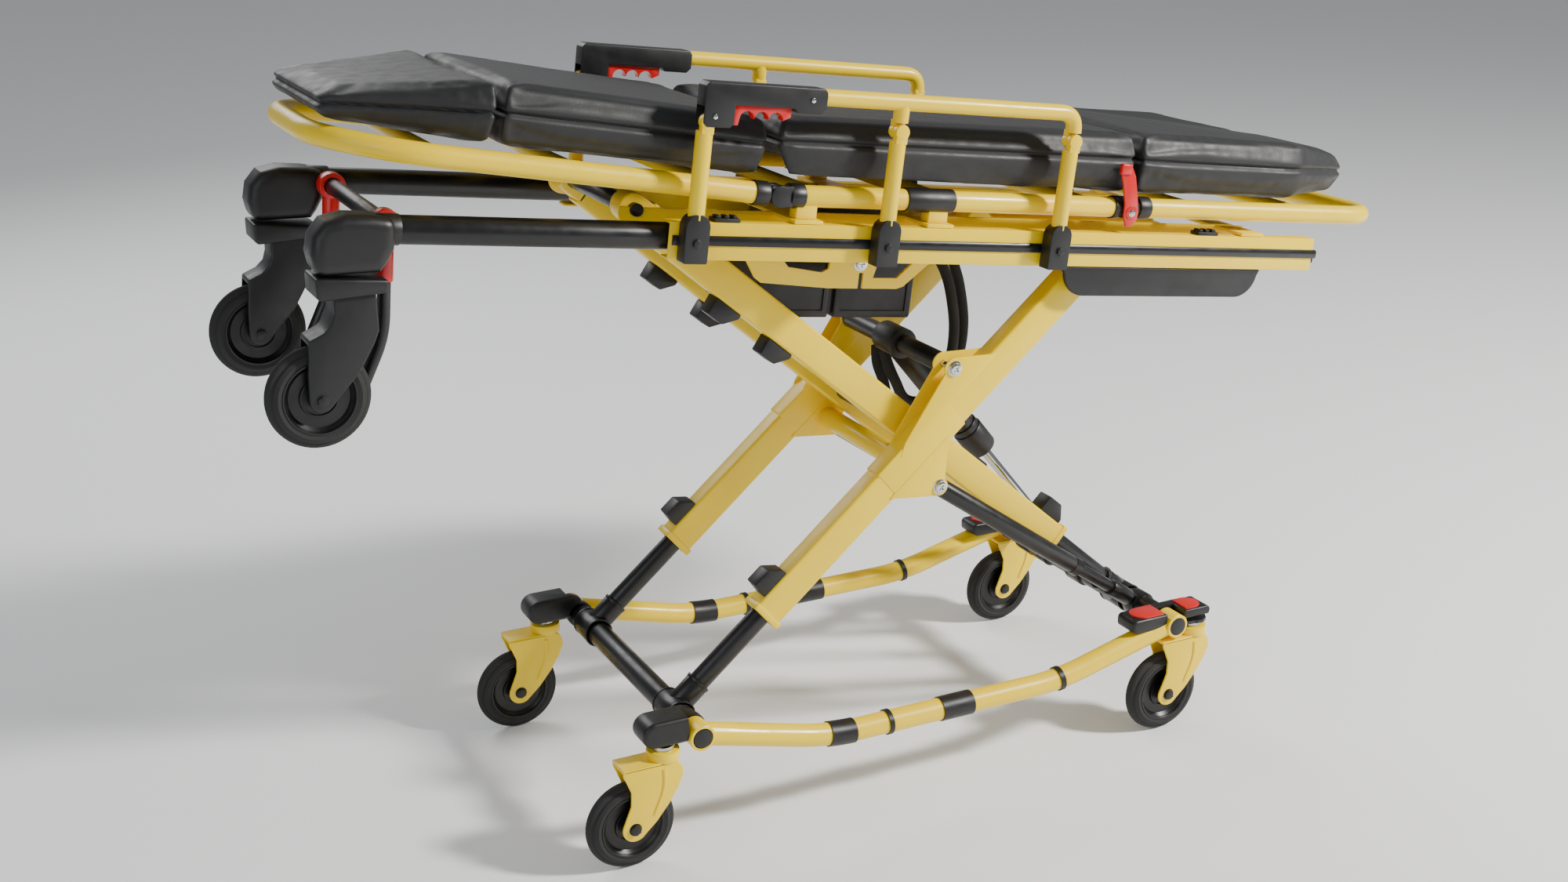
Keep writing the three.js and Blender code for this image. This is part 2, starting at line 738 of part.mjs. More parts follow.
// ---- Head section: slides in the side channels ----
function headSectionFrame() {
  const [crossU, crossW] = HEAD_CROSS;
  const tubes = bothSides((side) => {
    const y = side * HEAD_TUBE_Y;
    return bar([-860, y, 5], [-280, y, 5], HEAD_TUBE_R);
  });
  const knuckles = bothSides((side) => {
    const [near, far] = [side * 168, side * 232];
    const skull = [
      [-953, -28],
      [-946, -58],
      [-935, 8],
      [-914, 24],
      [-842, 27],
      [-840, -19],
      [-852, -44],
    ];
    const inset = 12;
    return hull([
      ...skull.flatMap(([u, w]) => [
        [u + inset / 2, near, w - inset / 3],
        [u + inset / 2, far, w - inset / 3],
      ]),
      ...skull.map(([u, w]) => [u, side * HEAD_TUBE_Y, w]),
      [-946, near + side * inset, -61],
      [-850, near + side * inset, -50],
    ]);
  });
  return join([...tubes, ...knuckles, disc(crossU, crossW, 13, -190, 190)]);
}

// The load legs stand upright, so they are measured from the wheel's centre in the cot's frame.
function loadLeg() {
  const outline = [
    [24, 158],
    [24, 121],
    [16, 104],
    [-11, 88],
    [-18, 10],
    ...arc(0, 0, 17, 180, 320, 4),
    [59, 34],
    [87, 92],
    [86, 158],
  ];
  const body = plate(outline, -27, 27);
  const wheelRoom = disc(0, 0, 82, -21.6, 21.6, 24);
  const bosses = bothSides((side) => disc(0, 0, 12, side * 19.4, side * 23, 12));
  const crown = box([4, -36, 150], [102, 36, 163]);
  return join([cut(body, [wheelRoom]), ...bosses, crown]);
}

function safetyBar() {
  const y = 152;
  const bend = [-14, -165];
  const foot = [-76, -290];
  const route = [
    [0, -y, -14],
    [bend[0], -y, bend[1]],
    [foot[0], -y, foot[1]],
    [foot[0], y, foot[1]],
    [bend[0], y, bend[1]],
    [0, y, -14],
  ];
  const hoop = tube(rounded(route, 28, 2), 10, 8);
  const sleeves = bothSides((side) => [
    disc(0, 0, 21, side * (y - 13), side * (y + 12)),
    bar([-1, side * y, -12], [-7, side * y, -84], 13),
  ]);
  const bores = disc(0, 0, 14.2, -180, 180, 14);
  return cut(join([hoop, ...sleeves]), [bores]);
}

function addHeadSection() {
  place(litter, "head_section_frame", headSectionFrame(), BLACK);
  for (const [name, side] of Object.entries(SIDES)) {
    const corner = new THREE.Group();
    corner.position.set(LOAD_WHEEL[0], side * LOAD_WHEEL[1], LOAD_WHEEL[2]);
    cot.add(corner);
    place(corner, `load_leg_${name}`, loadLeg(), BLACK);
    place(corner, `load_wheel_${name}`, wheel(WHEEL_R), RUBBER);
  }
  const hoop = new THREE.Group();
  const tilt = THREE.MathUtils.degToRad(LITTER_TILT);
  const [crossU, crossW] = HEAD_CROSS;
  hoop.position.set(
    crossU * Math.cos(tilt) + crossW * Math.sin(tilt),
    0,
    LITTER_ORIGIN_Z - crossU * Math.sin(tilt) + crossW * Math.cos(tilt),
  );
  cot.add(hoop);
  place(hoop, "safety_bar", safetyBar(), RED);
}

// ---- Side rails ----
const TONGUE_OUT = [RAIL_Y + 0.3, RAIL_Y + RAIL_TUBE_R];
const TONGUE_IN = [RAIL_Y - RAIL_TUBE_R, RAIL_Y - 0.3];

/** A post from its foot pin: the block, the tube and the tongue at its top pin. */
function siderailPost(side) {
  const top = POST_TOP_W - POST_FOOT_W;
  const outline = [[-20, -31], [20, -31], ...arc(0, 24, 20, 0, 180, 6)];
  const block = plate(outline, side * 234.4, side * 260.5);
  const post = bar([0, side * RAIL_Y, 34], [0, side * RAIL_Y, top - 14], RAIL_TUBE_R, 12);
  const tongue = disc(0, top, 12, side * TONGUE_OUT[0], side * TONGUE_OUT[1], 12);
  const neck = box([-10, side * TONGUE_OUT[0], top - 18], [10, side * TONGUE_OUT[1], top]);
  return join([block, post, tongue, neck]);
}

function siderailRail(side) {
  const y = side * RAIL_Y;
  const [, middle, foot] = POST_U;
  const corners = [
    [-200.4, y, RAIL_W],
    [foot, y, RAIL_W],
    [foot, y, POST_TOP_W + 14],
  ];
  const stub = bar([middle, y, POST_TOP_W + 14], [middle, y, RAIL_W], 12, 12);
  const tongues = [middle, foot].flatMap((u) => [
    disc(u, POST_TOP_W, 12, side * TONGUE_IN[0], side * TONGUE_IN[1], 12),
    box([u - 10, side * TONGUE_IN[0], POST_TOP_W], [u + 10, side * TONGUE_IN[1], POST_TOP_W + 18]),
  ]);
  return join([tube(rounded(corners, 30, 4), RAIL_TUBE_R), stub, ...tongues]);
}

function siderailHandle(side) {
  const outline = [
    [-403, 178],
    [-353, 178],
    [-353, 212],
    [-255, 212],
    [-255, 206],
    [-209, 206],
    [-201, 214],
    [-201, 240],
    [-205, 244],
    [-397, 244],
    [-403, 238],
  ];
  const shell = plate(outline, side * 232, side * 263);
  const postRoom = box([-420, side * 234, 170], [-360, side * 261, 208]);
  const triggerRoom = box([-352, side * 237, 200], [-256, side * 258, 222]);
  return cut(shell, [postRoom, triggerRoom]);
}

function siderailLatch(side) {
  const top = 214;
  const scallops = [-330, -306, -282].flatMap((u) => arc(u, 192, 12, 180, 0, 4));
  const outline = [[-351, top], [-351, 182], [-344, 182], ...scallops, [-257, 198], [-257, top]];
  return plate(outline, side * 239, side * 256);
}

function addSiderails() {
  for (const [name, side] of Object.entries(SIDES)) {
    POST_U.forEach((u, index) => {
      const foot = new THREE.Group();
      foot.position.set(u, 0, POST_FOOT_W);
      litter.add(foot);
      place(foot, `siderail_post_${POST_NAMES[index]}_${name}`, siderailPost(side), YELLOW);
    });
    place(litter, `siderail_rail_${name}`, siderailRail(side), YELLOW);
    place(litter, `siderail_handle_${name}`, siderailHandle(side), BLACK);
    place(litter, `siderail_latch_${name}`, siderailLatch(side), RED);
  }
}

addBase();
addUndercarriage();
addLitter();
addHeadSection();
addSiderails();

export default cot;
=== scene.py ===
"""The looks of an ambulance cot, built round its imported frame.

Local sizes are in millimetres. A Station turns them into metres in the cot's own frame.
"""

import json
import logging
import math
from collections.abc import Sequence
from dataclasses import dataclass
from enum import Enum

import bpy
from mathutils import Matrix, Vector

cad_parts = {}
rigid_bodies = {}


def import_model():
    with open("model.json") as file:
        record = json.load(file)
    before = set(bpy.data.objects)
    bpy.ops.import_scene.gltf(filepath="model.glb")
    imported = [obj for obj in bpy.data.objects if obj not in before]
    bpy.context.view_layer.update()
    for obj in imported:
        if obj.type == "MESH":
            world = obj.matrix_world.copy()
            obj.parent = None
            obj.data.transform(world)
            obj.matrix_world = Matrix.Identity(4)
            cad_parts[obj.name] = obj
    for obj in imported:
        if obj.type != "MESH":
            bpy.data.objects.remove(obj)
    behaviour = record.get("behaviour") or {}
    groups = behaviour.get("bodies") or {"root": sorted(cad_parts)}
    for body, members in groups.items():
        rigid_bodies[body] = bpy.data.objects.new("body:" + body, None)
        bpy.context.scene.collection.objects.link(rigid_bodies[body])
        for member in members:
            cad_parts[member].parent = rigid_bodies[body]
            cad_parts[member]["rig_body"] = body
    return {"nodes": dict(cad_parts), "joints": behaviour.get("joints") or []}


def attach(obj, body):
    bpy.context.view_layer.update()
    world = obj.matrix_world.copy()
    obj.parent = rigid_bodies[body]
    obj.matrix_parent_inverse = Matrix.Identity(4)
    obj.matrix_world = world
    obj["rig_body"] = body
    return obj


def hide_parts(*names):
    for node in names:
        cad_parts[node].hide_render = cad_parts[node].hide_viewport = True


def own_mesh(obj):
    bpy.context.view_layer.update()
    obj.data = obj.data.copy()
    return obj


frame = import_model()

LOG = logging.getLogger("cot")
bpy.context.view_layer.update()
MM = 0.001

Point = Sequence[float]
Outline = Sequence[tuple[float, float]]
Piece = bpy.types.Object


# ---- Finishes ----
class Grain(Enum):
    """What the fine relief of a finish looks like."""

    FLOW = "flow"
    PEBBLE = "pebble"


@dataclass(frozen=True)
class Finish:
    """A procedural finish on Object coordinates.

    Args:
        name: The material's name.
        slot: A material slot's name; not used.
        colour: The main colour, linear.
        shade: The colour that it drifts to, linear.
        gloss: The lowest and the highest roughness.
        relief: The relief's pattern.
        scale: The relief's features per metre.
        bump: The relief's strength.
        metal: How metallic the surface is.
        coat: The clear coat's weight.
        sheen: The sheen's weight.
    """

    name: str
    slot: str
    colour: tuple[float, float, float]
    shade: tuple[float, float, float]
    gloss: tuple[float, float]
    relief: Grain = Grain.FLOW
    scale: float = 500.0
    bump: float = 0.05
    metal: float = 0.0
    coat: float = 0.0
    sheen: float = 0.0

    def material(self) -> bpy.types.Material:
        """Builds the material once.

        Returns:
            The finish's material.
        """
        known = bpy.data.materials.get(self.name)
        if known:
            return known
        made = bpy.data.materials.new(self.name)
        made.use_nodes = True
        made.diffuse_color = (*self.colour, 1.0)
        nodes, links = made.node_tree.nodes, made.node_tree.links
        shader = nodes["Principled BSDF"]
        shader.inputs["Metallic"].default_value = self.metal
        shader.inputs["Coat Weight"].default_value = self.coat
        shader.inputs["Coat Roughness"].default_value = 0.08
        shader.inputs["Sheen Weight"].default_value = self.sheen
        place = nodes.new("ShaderNodeTexCoord")

        drift = nodes.new("ShaderNodeTexNoise")
        drift.inputs["Scale"].default_value = 7.0
        drift.inputs["Detail"].default_value = 8.0
        drift.inputs["Roughness"].default_value = 0.65
        links.new(place.outputs["Object"], drift.inputs["Vector"])
        ramp = nodes.new("ShaderNodeValToRGB")
        ramp.color_ramp.elements[0].position = 0.3
        ramp.color_ramp.elements[0].color = (*self.shade, 1.0)
        ramp.color_ramp.elements[1].position = 0.62
        ramp.color_ramp.elements[1].color = (*self.colour, 1.0)
        links.new(drift.outputs["Fac"], ramp.inputs["Fac"])
        links.new(ramp.outputs["Color"], shader.inputs["Base Color"])

        scuff = nodes.new("ShaderNodeTexNoise")
        scuff.inputs["Scale"].default_value = 38.0
        scuff.inputs["Detail"].default_value = 10.0
        links.new(place.outputs["Object"], scuff.inputs["Vector"])
        spread = nodes.new("ShaderNodeMapRange")
        spread.inputs["From Min"].default_value = 0.35
        spread.inputs["From Max"].default_value = 0.68
        spread.inputs["To Min"].default_value = self.gloss[0]
        spread.inputs["To Max"].default_value = self.gloss[1]
        links.new(scuff.outputs["Fac"], spread.inputs["Value"])
        links.new(spread.outputs["Result"], shader.inputs["Roughness"])

        if self.relief is Grain.PEBBLE:
            grain = nodes.new("ShaderNodeTexVoronoi")
            grain.feature = "SMOOTH_F1"
            height = grain.outputs["Distance"]
        else:
            grain = nodes.new("ShaderNodeTexNoise")
            grain.inputs["Detail"].default_value = 3.0
            height = grain.outputs["Fac"]
        grain.inputs["Scale"].default_value = self.scale
        links.new(place.outputs["Object"], grain.inputs["Vector"])
        bump = nodes.new("ShaderNodeBump")
        bump.inputs["Strength"].default_value = self.bump
        bump.inputs["Distance"].default_value = 0.0006
        links.new(height, bump.inputs["Height"])
        links.new(bump.outputs["Normal"], shader.inputs["Normal"])
        return made


YELLOW = Finish(
    "lemon_powder_coat", "yellow_paint", (0.96, 0.68, 0.0), (0.94, 0.62, 0.0), (0.3, 0.42), scale=330.0,
    bump=0.03, coat=0.1
)
COAT = Finish(
    "satin_black_coat", "black_coat", (0.007, 0.007, 0.008), (0.005, 0.005, 0.0055), (0.28, 0.4),
    scale=420.0, bump=0.02
)
PLASTIC = Finish(
    "charcoal_plastic",
    "black_plastic",
    (0.009, 0.009, 0.01),
    (0.0065, 0.0065, 0.007),
    (0.38, 0.5),
    Grain.PEBBLE,
    1100.0,
    0.16,
)
RED = Finish(
    "red_plastic",
    "red_plastic",
    (0.8, 0.002, 0.003),
    (0.7, 0.0015, 0.002),
    (0.3, 0.42),
    scale=600.0,
    coat=0.1,
)
TYRE = Finish(
    "tyre_rubber",
    "tyre_rubber",
    (0.01, 0.01, 0.0105),
    (0.007, 0.007, 0.0075),
    (0.44, 0.6),
    scale=800.0,
    bump=0.12,
)
HUB = Finish(
    "hub_plastic",
    "tyre_rubber",
    (0.005, 0.005, 0.0055),
    (0.004, 0.004, 0.0045),
    (0.3, 0.45),
    scale=900.0,
)
HOSE = Finish(
    "hose_rubber",
    "hose_rubber",
    (0.006, 0.006, 0.0065),
    (0.0045, 0.0045, 0.005),
    (0.34, 0.5),
    scale=900.0,
)
STEEL = Finish(
    "polished_steel",
    "polished_steel",
    (0.62, 0.63, 0.64),
    (0.5, 0.51, 0.52),
    (0.08, 0.2),
    scale=900.0,
    metal=1.0,
)
VINYL = Finish(
    "charcoal_vinyl",
    "vinyl",
    (0.011, 0.0115, 0.0125),
    (0.008, 0.0085, 0.0095),
    (0.5, 0.64),
    Grain.PEBBLE,
    620.0,
    0.3,
    sheen=0.04,
)


# ---- Places ----
def joint(name: str) -> dict:
    """The frame's joint of that name."""
    return next(each for each in frame["joints"] if each["name"] == name)


def pivot(name: str) -> Vector:
    """Where a hinge turns, in metres."""
    return Vector(joint(name)["pos_m"])


def axis(name: str) -> Vector:
    """The direction of a joint's axis."""
    return Vector(joint(name)["axis"])


class Station:
    """A local frame in millimetres, with X along a part and Z above it."""

    def __init__(self, origin: Vector, along: Vector) -> None:
        """Sets the frame up.

        Args:
            origin: The local origin, in metres.
            along: The direction of local X, level across the cot.
        """
        self.along = along.normalized()
        self.above = self.along.cross(Vector((0, 1, 0)))
        turn = Matrix((self.along, Vector((0, 1, 0)), self.above)).transposed().to_4x4()
        self.level = Matrix.Translation(origin) @ turn
        self.matrix = self.level @ Matrix.Scale(MM, 4)

    def at(self, x: float, y: float, z: float) -> Vector:
        """A local point in metres, in the cot's frame."""
        return self.matrix @ Vector((x, y, z))


class Side(Enum):
    """A side of the cot, from the patient's own view."""

    RIGHT = -1
    LEFT = 1

    @property
    def word(self) -> str:
        """The side's name in the frame's nodes."""
        return self.name.lower()


def central(point: Vector) -> Vector:
    """The point moved to the cot's middle plane."""
    return Vector((point.x, 0, point.z))


BACK_REST_ANGLE = math.radians(4)
LITTER_WAY = axis("head_section_slide")
_LITTER_UP = LITTER_WAY.cross(Vector((0, 1, 0)))
FLOOR = Station(Vector((pivot("lift").x + 0.409, 0, 0)), Vector((1, 0, 0)))
LITTER = Station(pivot("backrest_tilt") + LITTER_WAY * 0.240 - _LITTER_UP * 0.073, LITTER_WAY)
BACK = Station(
    pivot("backrest_tilt"),
    LITTER_WAY * math.cos(BACK_REST_ANGLE) - _LITTER_UP * math.sin(BACK_REST_ANGLE),
)
LEG = Station(pivot("leg_tilt"), LITTER_WAY)
OUTER = Station(pivot("lift"), axis("outer_slide"))
INNER = Station(central(pivot("brake_pedal_turn_right")), -axis("inner_slide"))
STRUT = Station(central(pivot("strut_turn_right")), axis("strut_slide_right"))
RAM = Station(pivot("cylinder_turn"), axis("piston_slide"))
HOOP = Station(pivot("safety_bar_swing"), Vector((1, 0, 0)))


# ---- Modelling kit ----
def deselect() -> None:
    """Leaves nothing selected."""
    for each in bpy.context.selected_objects:
        each.select_set(False)


def activate(piece: Piece) -> None:
    """Makes one piece the only selected and active one."""
    deselect()
    piece.select_set(True)
    bpy.context.view_layer.objects.active = piece


def apply(piece: Piece, kind: str, **settings: object) -> None:
    """Adds a modifier with settings, and applies it."""
    activate(piece)
    modifier = piece.modifiers.new(kind.lower(), kind)
    for key, value in settings.items():
        setattr(modifier, key, value)
    bpy.ops.object.modifier_apply(modifier=modifier.name)


def shaped(finish: Finish, edge: float = 0.0, segments: int = 2) -> Piece:
    """Takes the new primitive: its place goes into its mesh, its edges are rounded and it gets its finish.

    Args:
        finish: Its finish.
        edge: The width of its rounded edges.
        segments: The faces across each edge.

    Returns:
        The primitive's object.
    """
    piece = bpy.context.object
    piece.data.transform(piece.matrix_basis)
    piece.matrix_basis = Matrix.Identity(4)
    if edge:
        apply(
            piece,
            "BEVEL",
            width=edge,
            segments=segments,
            limit_method="ANGLE",
            angle_limit=math.radians(35),
        )
    piece.data.materials.clear()
    piece.data.materials.append(finish.material())
    return piece


def rod(finish: Finish, start: Point, end: Point, radius: float, edge: float = 0.8, sides: int = 40) -> Piece:
    """A round bar between two points."""
    deselect()
    way = Vector(end) - Vector(start)
    bpy.ops.mesh.primitive_cylinder_add(
        vertices=sides,
        radius=radius,
        depth=way.length,
        location=(Vector(start) + Vector(end)) / 2,
        rotation=way.to_track_quat("Z", "Y").to_euler(),
    )
    return shaped(finish, edge)


def disc(
    finish: Finish,
    x: float,
    z: float,
    radius: float,
    y0: float,
    y1: float,
    edge: float = 0.8,
    sides: int = 40,
) -> Piece:
    """A bar across the cot."""
    return rod(finish, (x, y0, z), (x, y1, z), radius, edge, sides)


def block(finish: Finish, low: Point, high: Point, edge: float = 1.0, segments: int = 2) -> Piece:
    """A box between two corners, with rounded edges."""
    deselect()
    a, b = Vector(low), Vector(high)
    size = Vector(tuple(abs(each) for each in b - a))
    bpy.ops.mesh.primitive_cube_add(size=1, location=(a + b) / 2, scale=size)
    return shaped(finish, edge, segments)


def slab(
    finish: Finish,
    outline: Outline,
    start: float,
    end: float,
    edge: float = 1.0,
    segments: int = 2,
    lengthwise: bool = False,
) -> Piece:
    """An outline in X and Z extruded along Y, or in Y and Z extruded along X.

    Args:
        finish: Its finish.
        outline: The outline's corners in order.
        start: Where the extrusion starts.
        end: Where it ends.
        edge: The width of its rounded edges.
        segments: The faces across each edge.
        lengthwise: True to extrude along X.

    Returns:
        The slab.
    """
    deselect()
    outline = [
        here
        for here, after in zip(outline, [*outline[1:], outline[0]]) if math.dist(here, after) > 0.01
    ]
    bpy.ops.mesh.primitive_circle_add(vertices=len(outline), radius=1, fill_type="NGON")
    piece = bpy.context.object
    for vertex, (across, up) in zip(piece.data.vertices, outline, strict=True):
        vertex.co = (start, across, up) if lengthwise else (across, start, up)
    way = (end - start, 0, 0) if lengthwise else (0, end - start, 0)
    bpy.ops.object.mode_set(mode="EDIT")
    bpy.ops.mesh.select_all(action="SELECT")
    bpy.ops.mesh.extrude_region_move(TRANSFORM_OT_translate={"value": way})
    bpy.ops.mesh.select_all(action="SELECT")
    bpy.ops.mesh.normals_make_consistent(inside=False)
    bpy.ops.object.mode_set(mode="OBJECT")
    return shaped(finish, edge, segments)


def turned(finish: Finish, profile: Outline, centre: Point = (0, 0, 0), steps: int = 56) -> Piece:
    """A closed profile of radius and Y, spun about Y."""
    deselect()
    bpy.ops.mesh.primitive_circle_add(vertices=len(profile), radius=1)
    piece = bpy.context.object
    for vertex, (radius, y) in zip(piece.data.vertices, profile, strict=True):
        vertex.co = (radius, y, 0)
    bpy.ops.object.mode_set(mode="EDIT")
    bpy.ops.mesh.select_all(action="SELECT")
    bpy.ops.mesh.spin(steps=steps, angle=math.tau, center=(0, 0, 0), axis=(0, 1, 0))
    bpy.ops.mesh.select_all(action="SELECT")
    bpy.ops.mesh.remove_doubles(threshold=0.01)
    bpy.ops.mesh.normals_make_consistent(inside=False)
    bpy.ops.object.mode_set(mode="OBJECT")
    made = shaped(finish)
    made.data.transform(Matrix.Translation(Vector(centre)))
    return made


def tube(finish: Finish, route: Sequence[Point], radius: float, sides: int = 6) -> Piece:
    """A round tube along a route, with closed ends."""
    deselect()
    bpy.ops.curve.primitive_nurbs_path_add()
    curve = bpy.context.object
    data = curve.data
    data.splines.clear()
    spline = data.splines.new("POLY")
    spline.points.add(len(route) - 1)
    for point, place in zip(spline.points, route, strict=True):
        point.co = (*place, 1.0)
    data.dimensions = "3D"
    data.bevel_depth = radius
    data.bevel_resolution = sides
    data.use_fill_caps = True
    bpy.ops.object.convert(target="MESH")
    bpy.ops.object.mode_set(mode="EDIT")
    bpy.ops.mesh.select_all(action="SELECT")
    bpy.ops.mesh.remove_doubles(threshold=0.001)
    bpy.ops.mesh.normals_make_consistent(inside=False)
    bpy.ops.object.mode_set(mode="OBJECT")
    return shaped(finish)


def cut(piece: Piece, *tools: Piece) -> Piece:
    """Takes the tools away from a piece."""
    for tool in tools:
        apply(piece, "BOOLEAN", operation="DIFFERENCE", object=tool, solver="EXACT")
        bpy.data.objects.remove(tool)
    return piece


def arc(
    x: float, z: float, radius: float, start: float, end: float, steps: int = 10
) -> list[tuple[float, float]]:
    """Points on an arc, with its angles in degrees."""
    angles = [math.radians(start + (end - start) * i / steps) for i in range(steps + 1)]
    return [(x + radius * math.cos(angle), z + radius * math.sin(angle)) for angle in angles]


def bent(corners: Sequence[Point], reach: float, steps: int = 10) -> list[Vector]:
    """A route with its inner corners rounded.

    Args:
        corners: The route's corners.
        reach: How far from a corner its bend starts.
        steps: The pieces of each bend.

    Returns:
        The rounded route.
    """
    points = [Vector(corner) for corner in corners]
    route = [points[0]]
    for before, corner, after in zip(points, points[1:], points[2:]):
        start = corner + (before - corner).normalized() * reach
        end = corner + (after - corner).normalized() * reach
        for i in range(steps + 1):
            share = i / steps
            route.append(start.lerp(corner, share).lerp(corner.lerp(end, share), share))
    return [*route, points[-1]]


def stretch(route: Sequence[Vector], start: float, end: float) -> list[Vector]:
    """The part of a route, ordered along X, that lies between two values of X."""

    def crossing(x: float) -> Vector:
        for a, b in zip(route, route[1:]):
            if a.x <= x <= b.x:
                return a.lerp(b, (x - a.x) / (b.x - a.x))
        raise ValueError(x)

    return [crossing(start), *[p for p in route if start < p.x < end], crossing(end)]


def copied(piece: Piece, matrix: Matrix) -> Piece:
    """A copy of a piece with its own mesh, moved by a matrix."""
    twin = bpy.data.objects.new(piece.name, piece.data.copy())
    bpy.context.scene.collection.objects.link(twin)
    twin.data.transform(matrix)
    if matrix.determinant() < 0:
        twin.data.flip_normals()
    return twin


def joined(parts: Sequence[Piece]) -> Piece:
    """One object from several."""
    activate(parts[0])
    for part in parts:
        part.select_set(True)
    if len(parts) > 1:
        bpy.ops.object.join()
    return bpy.context.object


def publish(node: str, parts: Sequence[Piece], station: Station) -> Piece:
    """Joins parts into the finished piece that stands for a CAD node.

    Args:
        node: The CAD node.
        parts: Its parts, in the station's millimetres.
        station: The frame that they are in.

    Returns:
        The finished piece.
    """
    piece = joined(parts)
    piece.name = f"{node}_made"
    piece.data.name = piece.name
    piece.data.transform(station.matrix)
    activate(piece)
    bpy.ops.object.shade_smooth_by_angle(angle=math.radians(32))
    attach(piece, frame["nodes"][node]["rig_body"])
    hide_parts(node)
    LOG.info("%s: %d faces", piece.name, len(piece.data.polygons))
    return piece


class Fasteners:
    """Screws and bolts, each modelled once and copied."""

    def __init__(self) -> None:
        """Models a cross-recess screw and a hexagon head, both facing +Y at the origin with radius 10."""
        washer = disc(STEEL, 0, 0, 13, -1, 1.2, 0.4)
        head = disc(STEEL, 0, 0, 10, 0, 6, 2.2)
        slots = [
            block(STEEL, (-5.5, 3, -1.1), (5.5, 8, 1.1), 0),
            block(STEEL, (-1.1, 3, -5.5), (1.1, 8, 5.5), 0),
        ]
        self.screw = joined([washer, cut(head, *slots)])
        self.hexagon = {
            finish.name: joined([disc(finish, 0, 0, 11.5, -1, 1, 0.3), disc(finish, 0, 0, 10, 0, 6, 1.0, 6)])
            for finish in (PLASTIC, STEEL)
        }

    def placed(self, master: Piece, x: float, y: float, z: float, side: int, scale: float = 1.0) -> Piece:
        """A copy of a fastener that faces outwards on a side."""
        turn = Matrix.Rotation(0 if side > 0 else math.pi, 4, "Z")
        return copied(master, Matrix.Translation((x, y, z)) @ turn @ Matrix.Scale(scale, 4))

    def hex(self, finish: Finish, x: float, y: float, z: float, side: int, scale: float = 1.0) -> Piece:
        """A hexagon head in a finish."""
        return self.placed(self.hexagon[finish.name], x, y, z, side, scale)

    def cross(self, x: float, y: float, z: float, side: int, scale: float = 1.0) -> Piece:
        """A cross-recess screw."""
        return self.placed(self.screw, x, y, z, side, scale)

    def put_away(self) -> None:
        """Removes the masters."""
        for master in (self.screw, *self.hexagon.values()):
            bpy.data.objects.remove(master)


# ---- Base ----
@dataclass
class Wheels:
    """The casters' and the load legs' wheels."""

    radius: float = 76.0
    half_width: float = 16.5

    def parts(self) -> list[Piece]:
        """A rubber tyre on a dark dished hub."""
        r, h = self.radius, self.half_width
        crown = [
            (r - 9 + 9 * math.cos(a), 9.5 * math.sin(a))
            for a in (math.radians(15 * i - 90) for i in range(13))
        ]
        tyre = turned(
            TYRE,
            [(53, -h + 2), (60, -h), (r - 11, -h + 3), *crown, (r - 11, h - 3), (60, h), (53, h - 2)],
        )
        lip = turned(
            HUB,
            [(49, -13), (51, -15.8), (53.6, -15.8), (54, -12), (54, 12), (53.6, 15.8), (51, 15.8), (49, 13)],
        )
        dish = [(8, -6), (44, -6), (49.5, -12), (49.5, 12), (44, 6), (8, 6)]
        ring = turned(HUB, [(26, -9.5), (28, -9.5), (29, -6), (29, 6), (28, 9.5), (26, 9.5)])
        return [tyre, lip, turned(HUB, dish), ring, disc(HUB, 0, 0, 17, -18.6, 18.6, 2.0)]

    def build(self, node: str, hub: Vector) -> None:
        """Makes one wheel round its hub."""
        publish(node, self.parts(), Station(hub, Vector((1, 0, 0))))


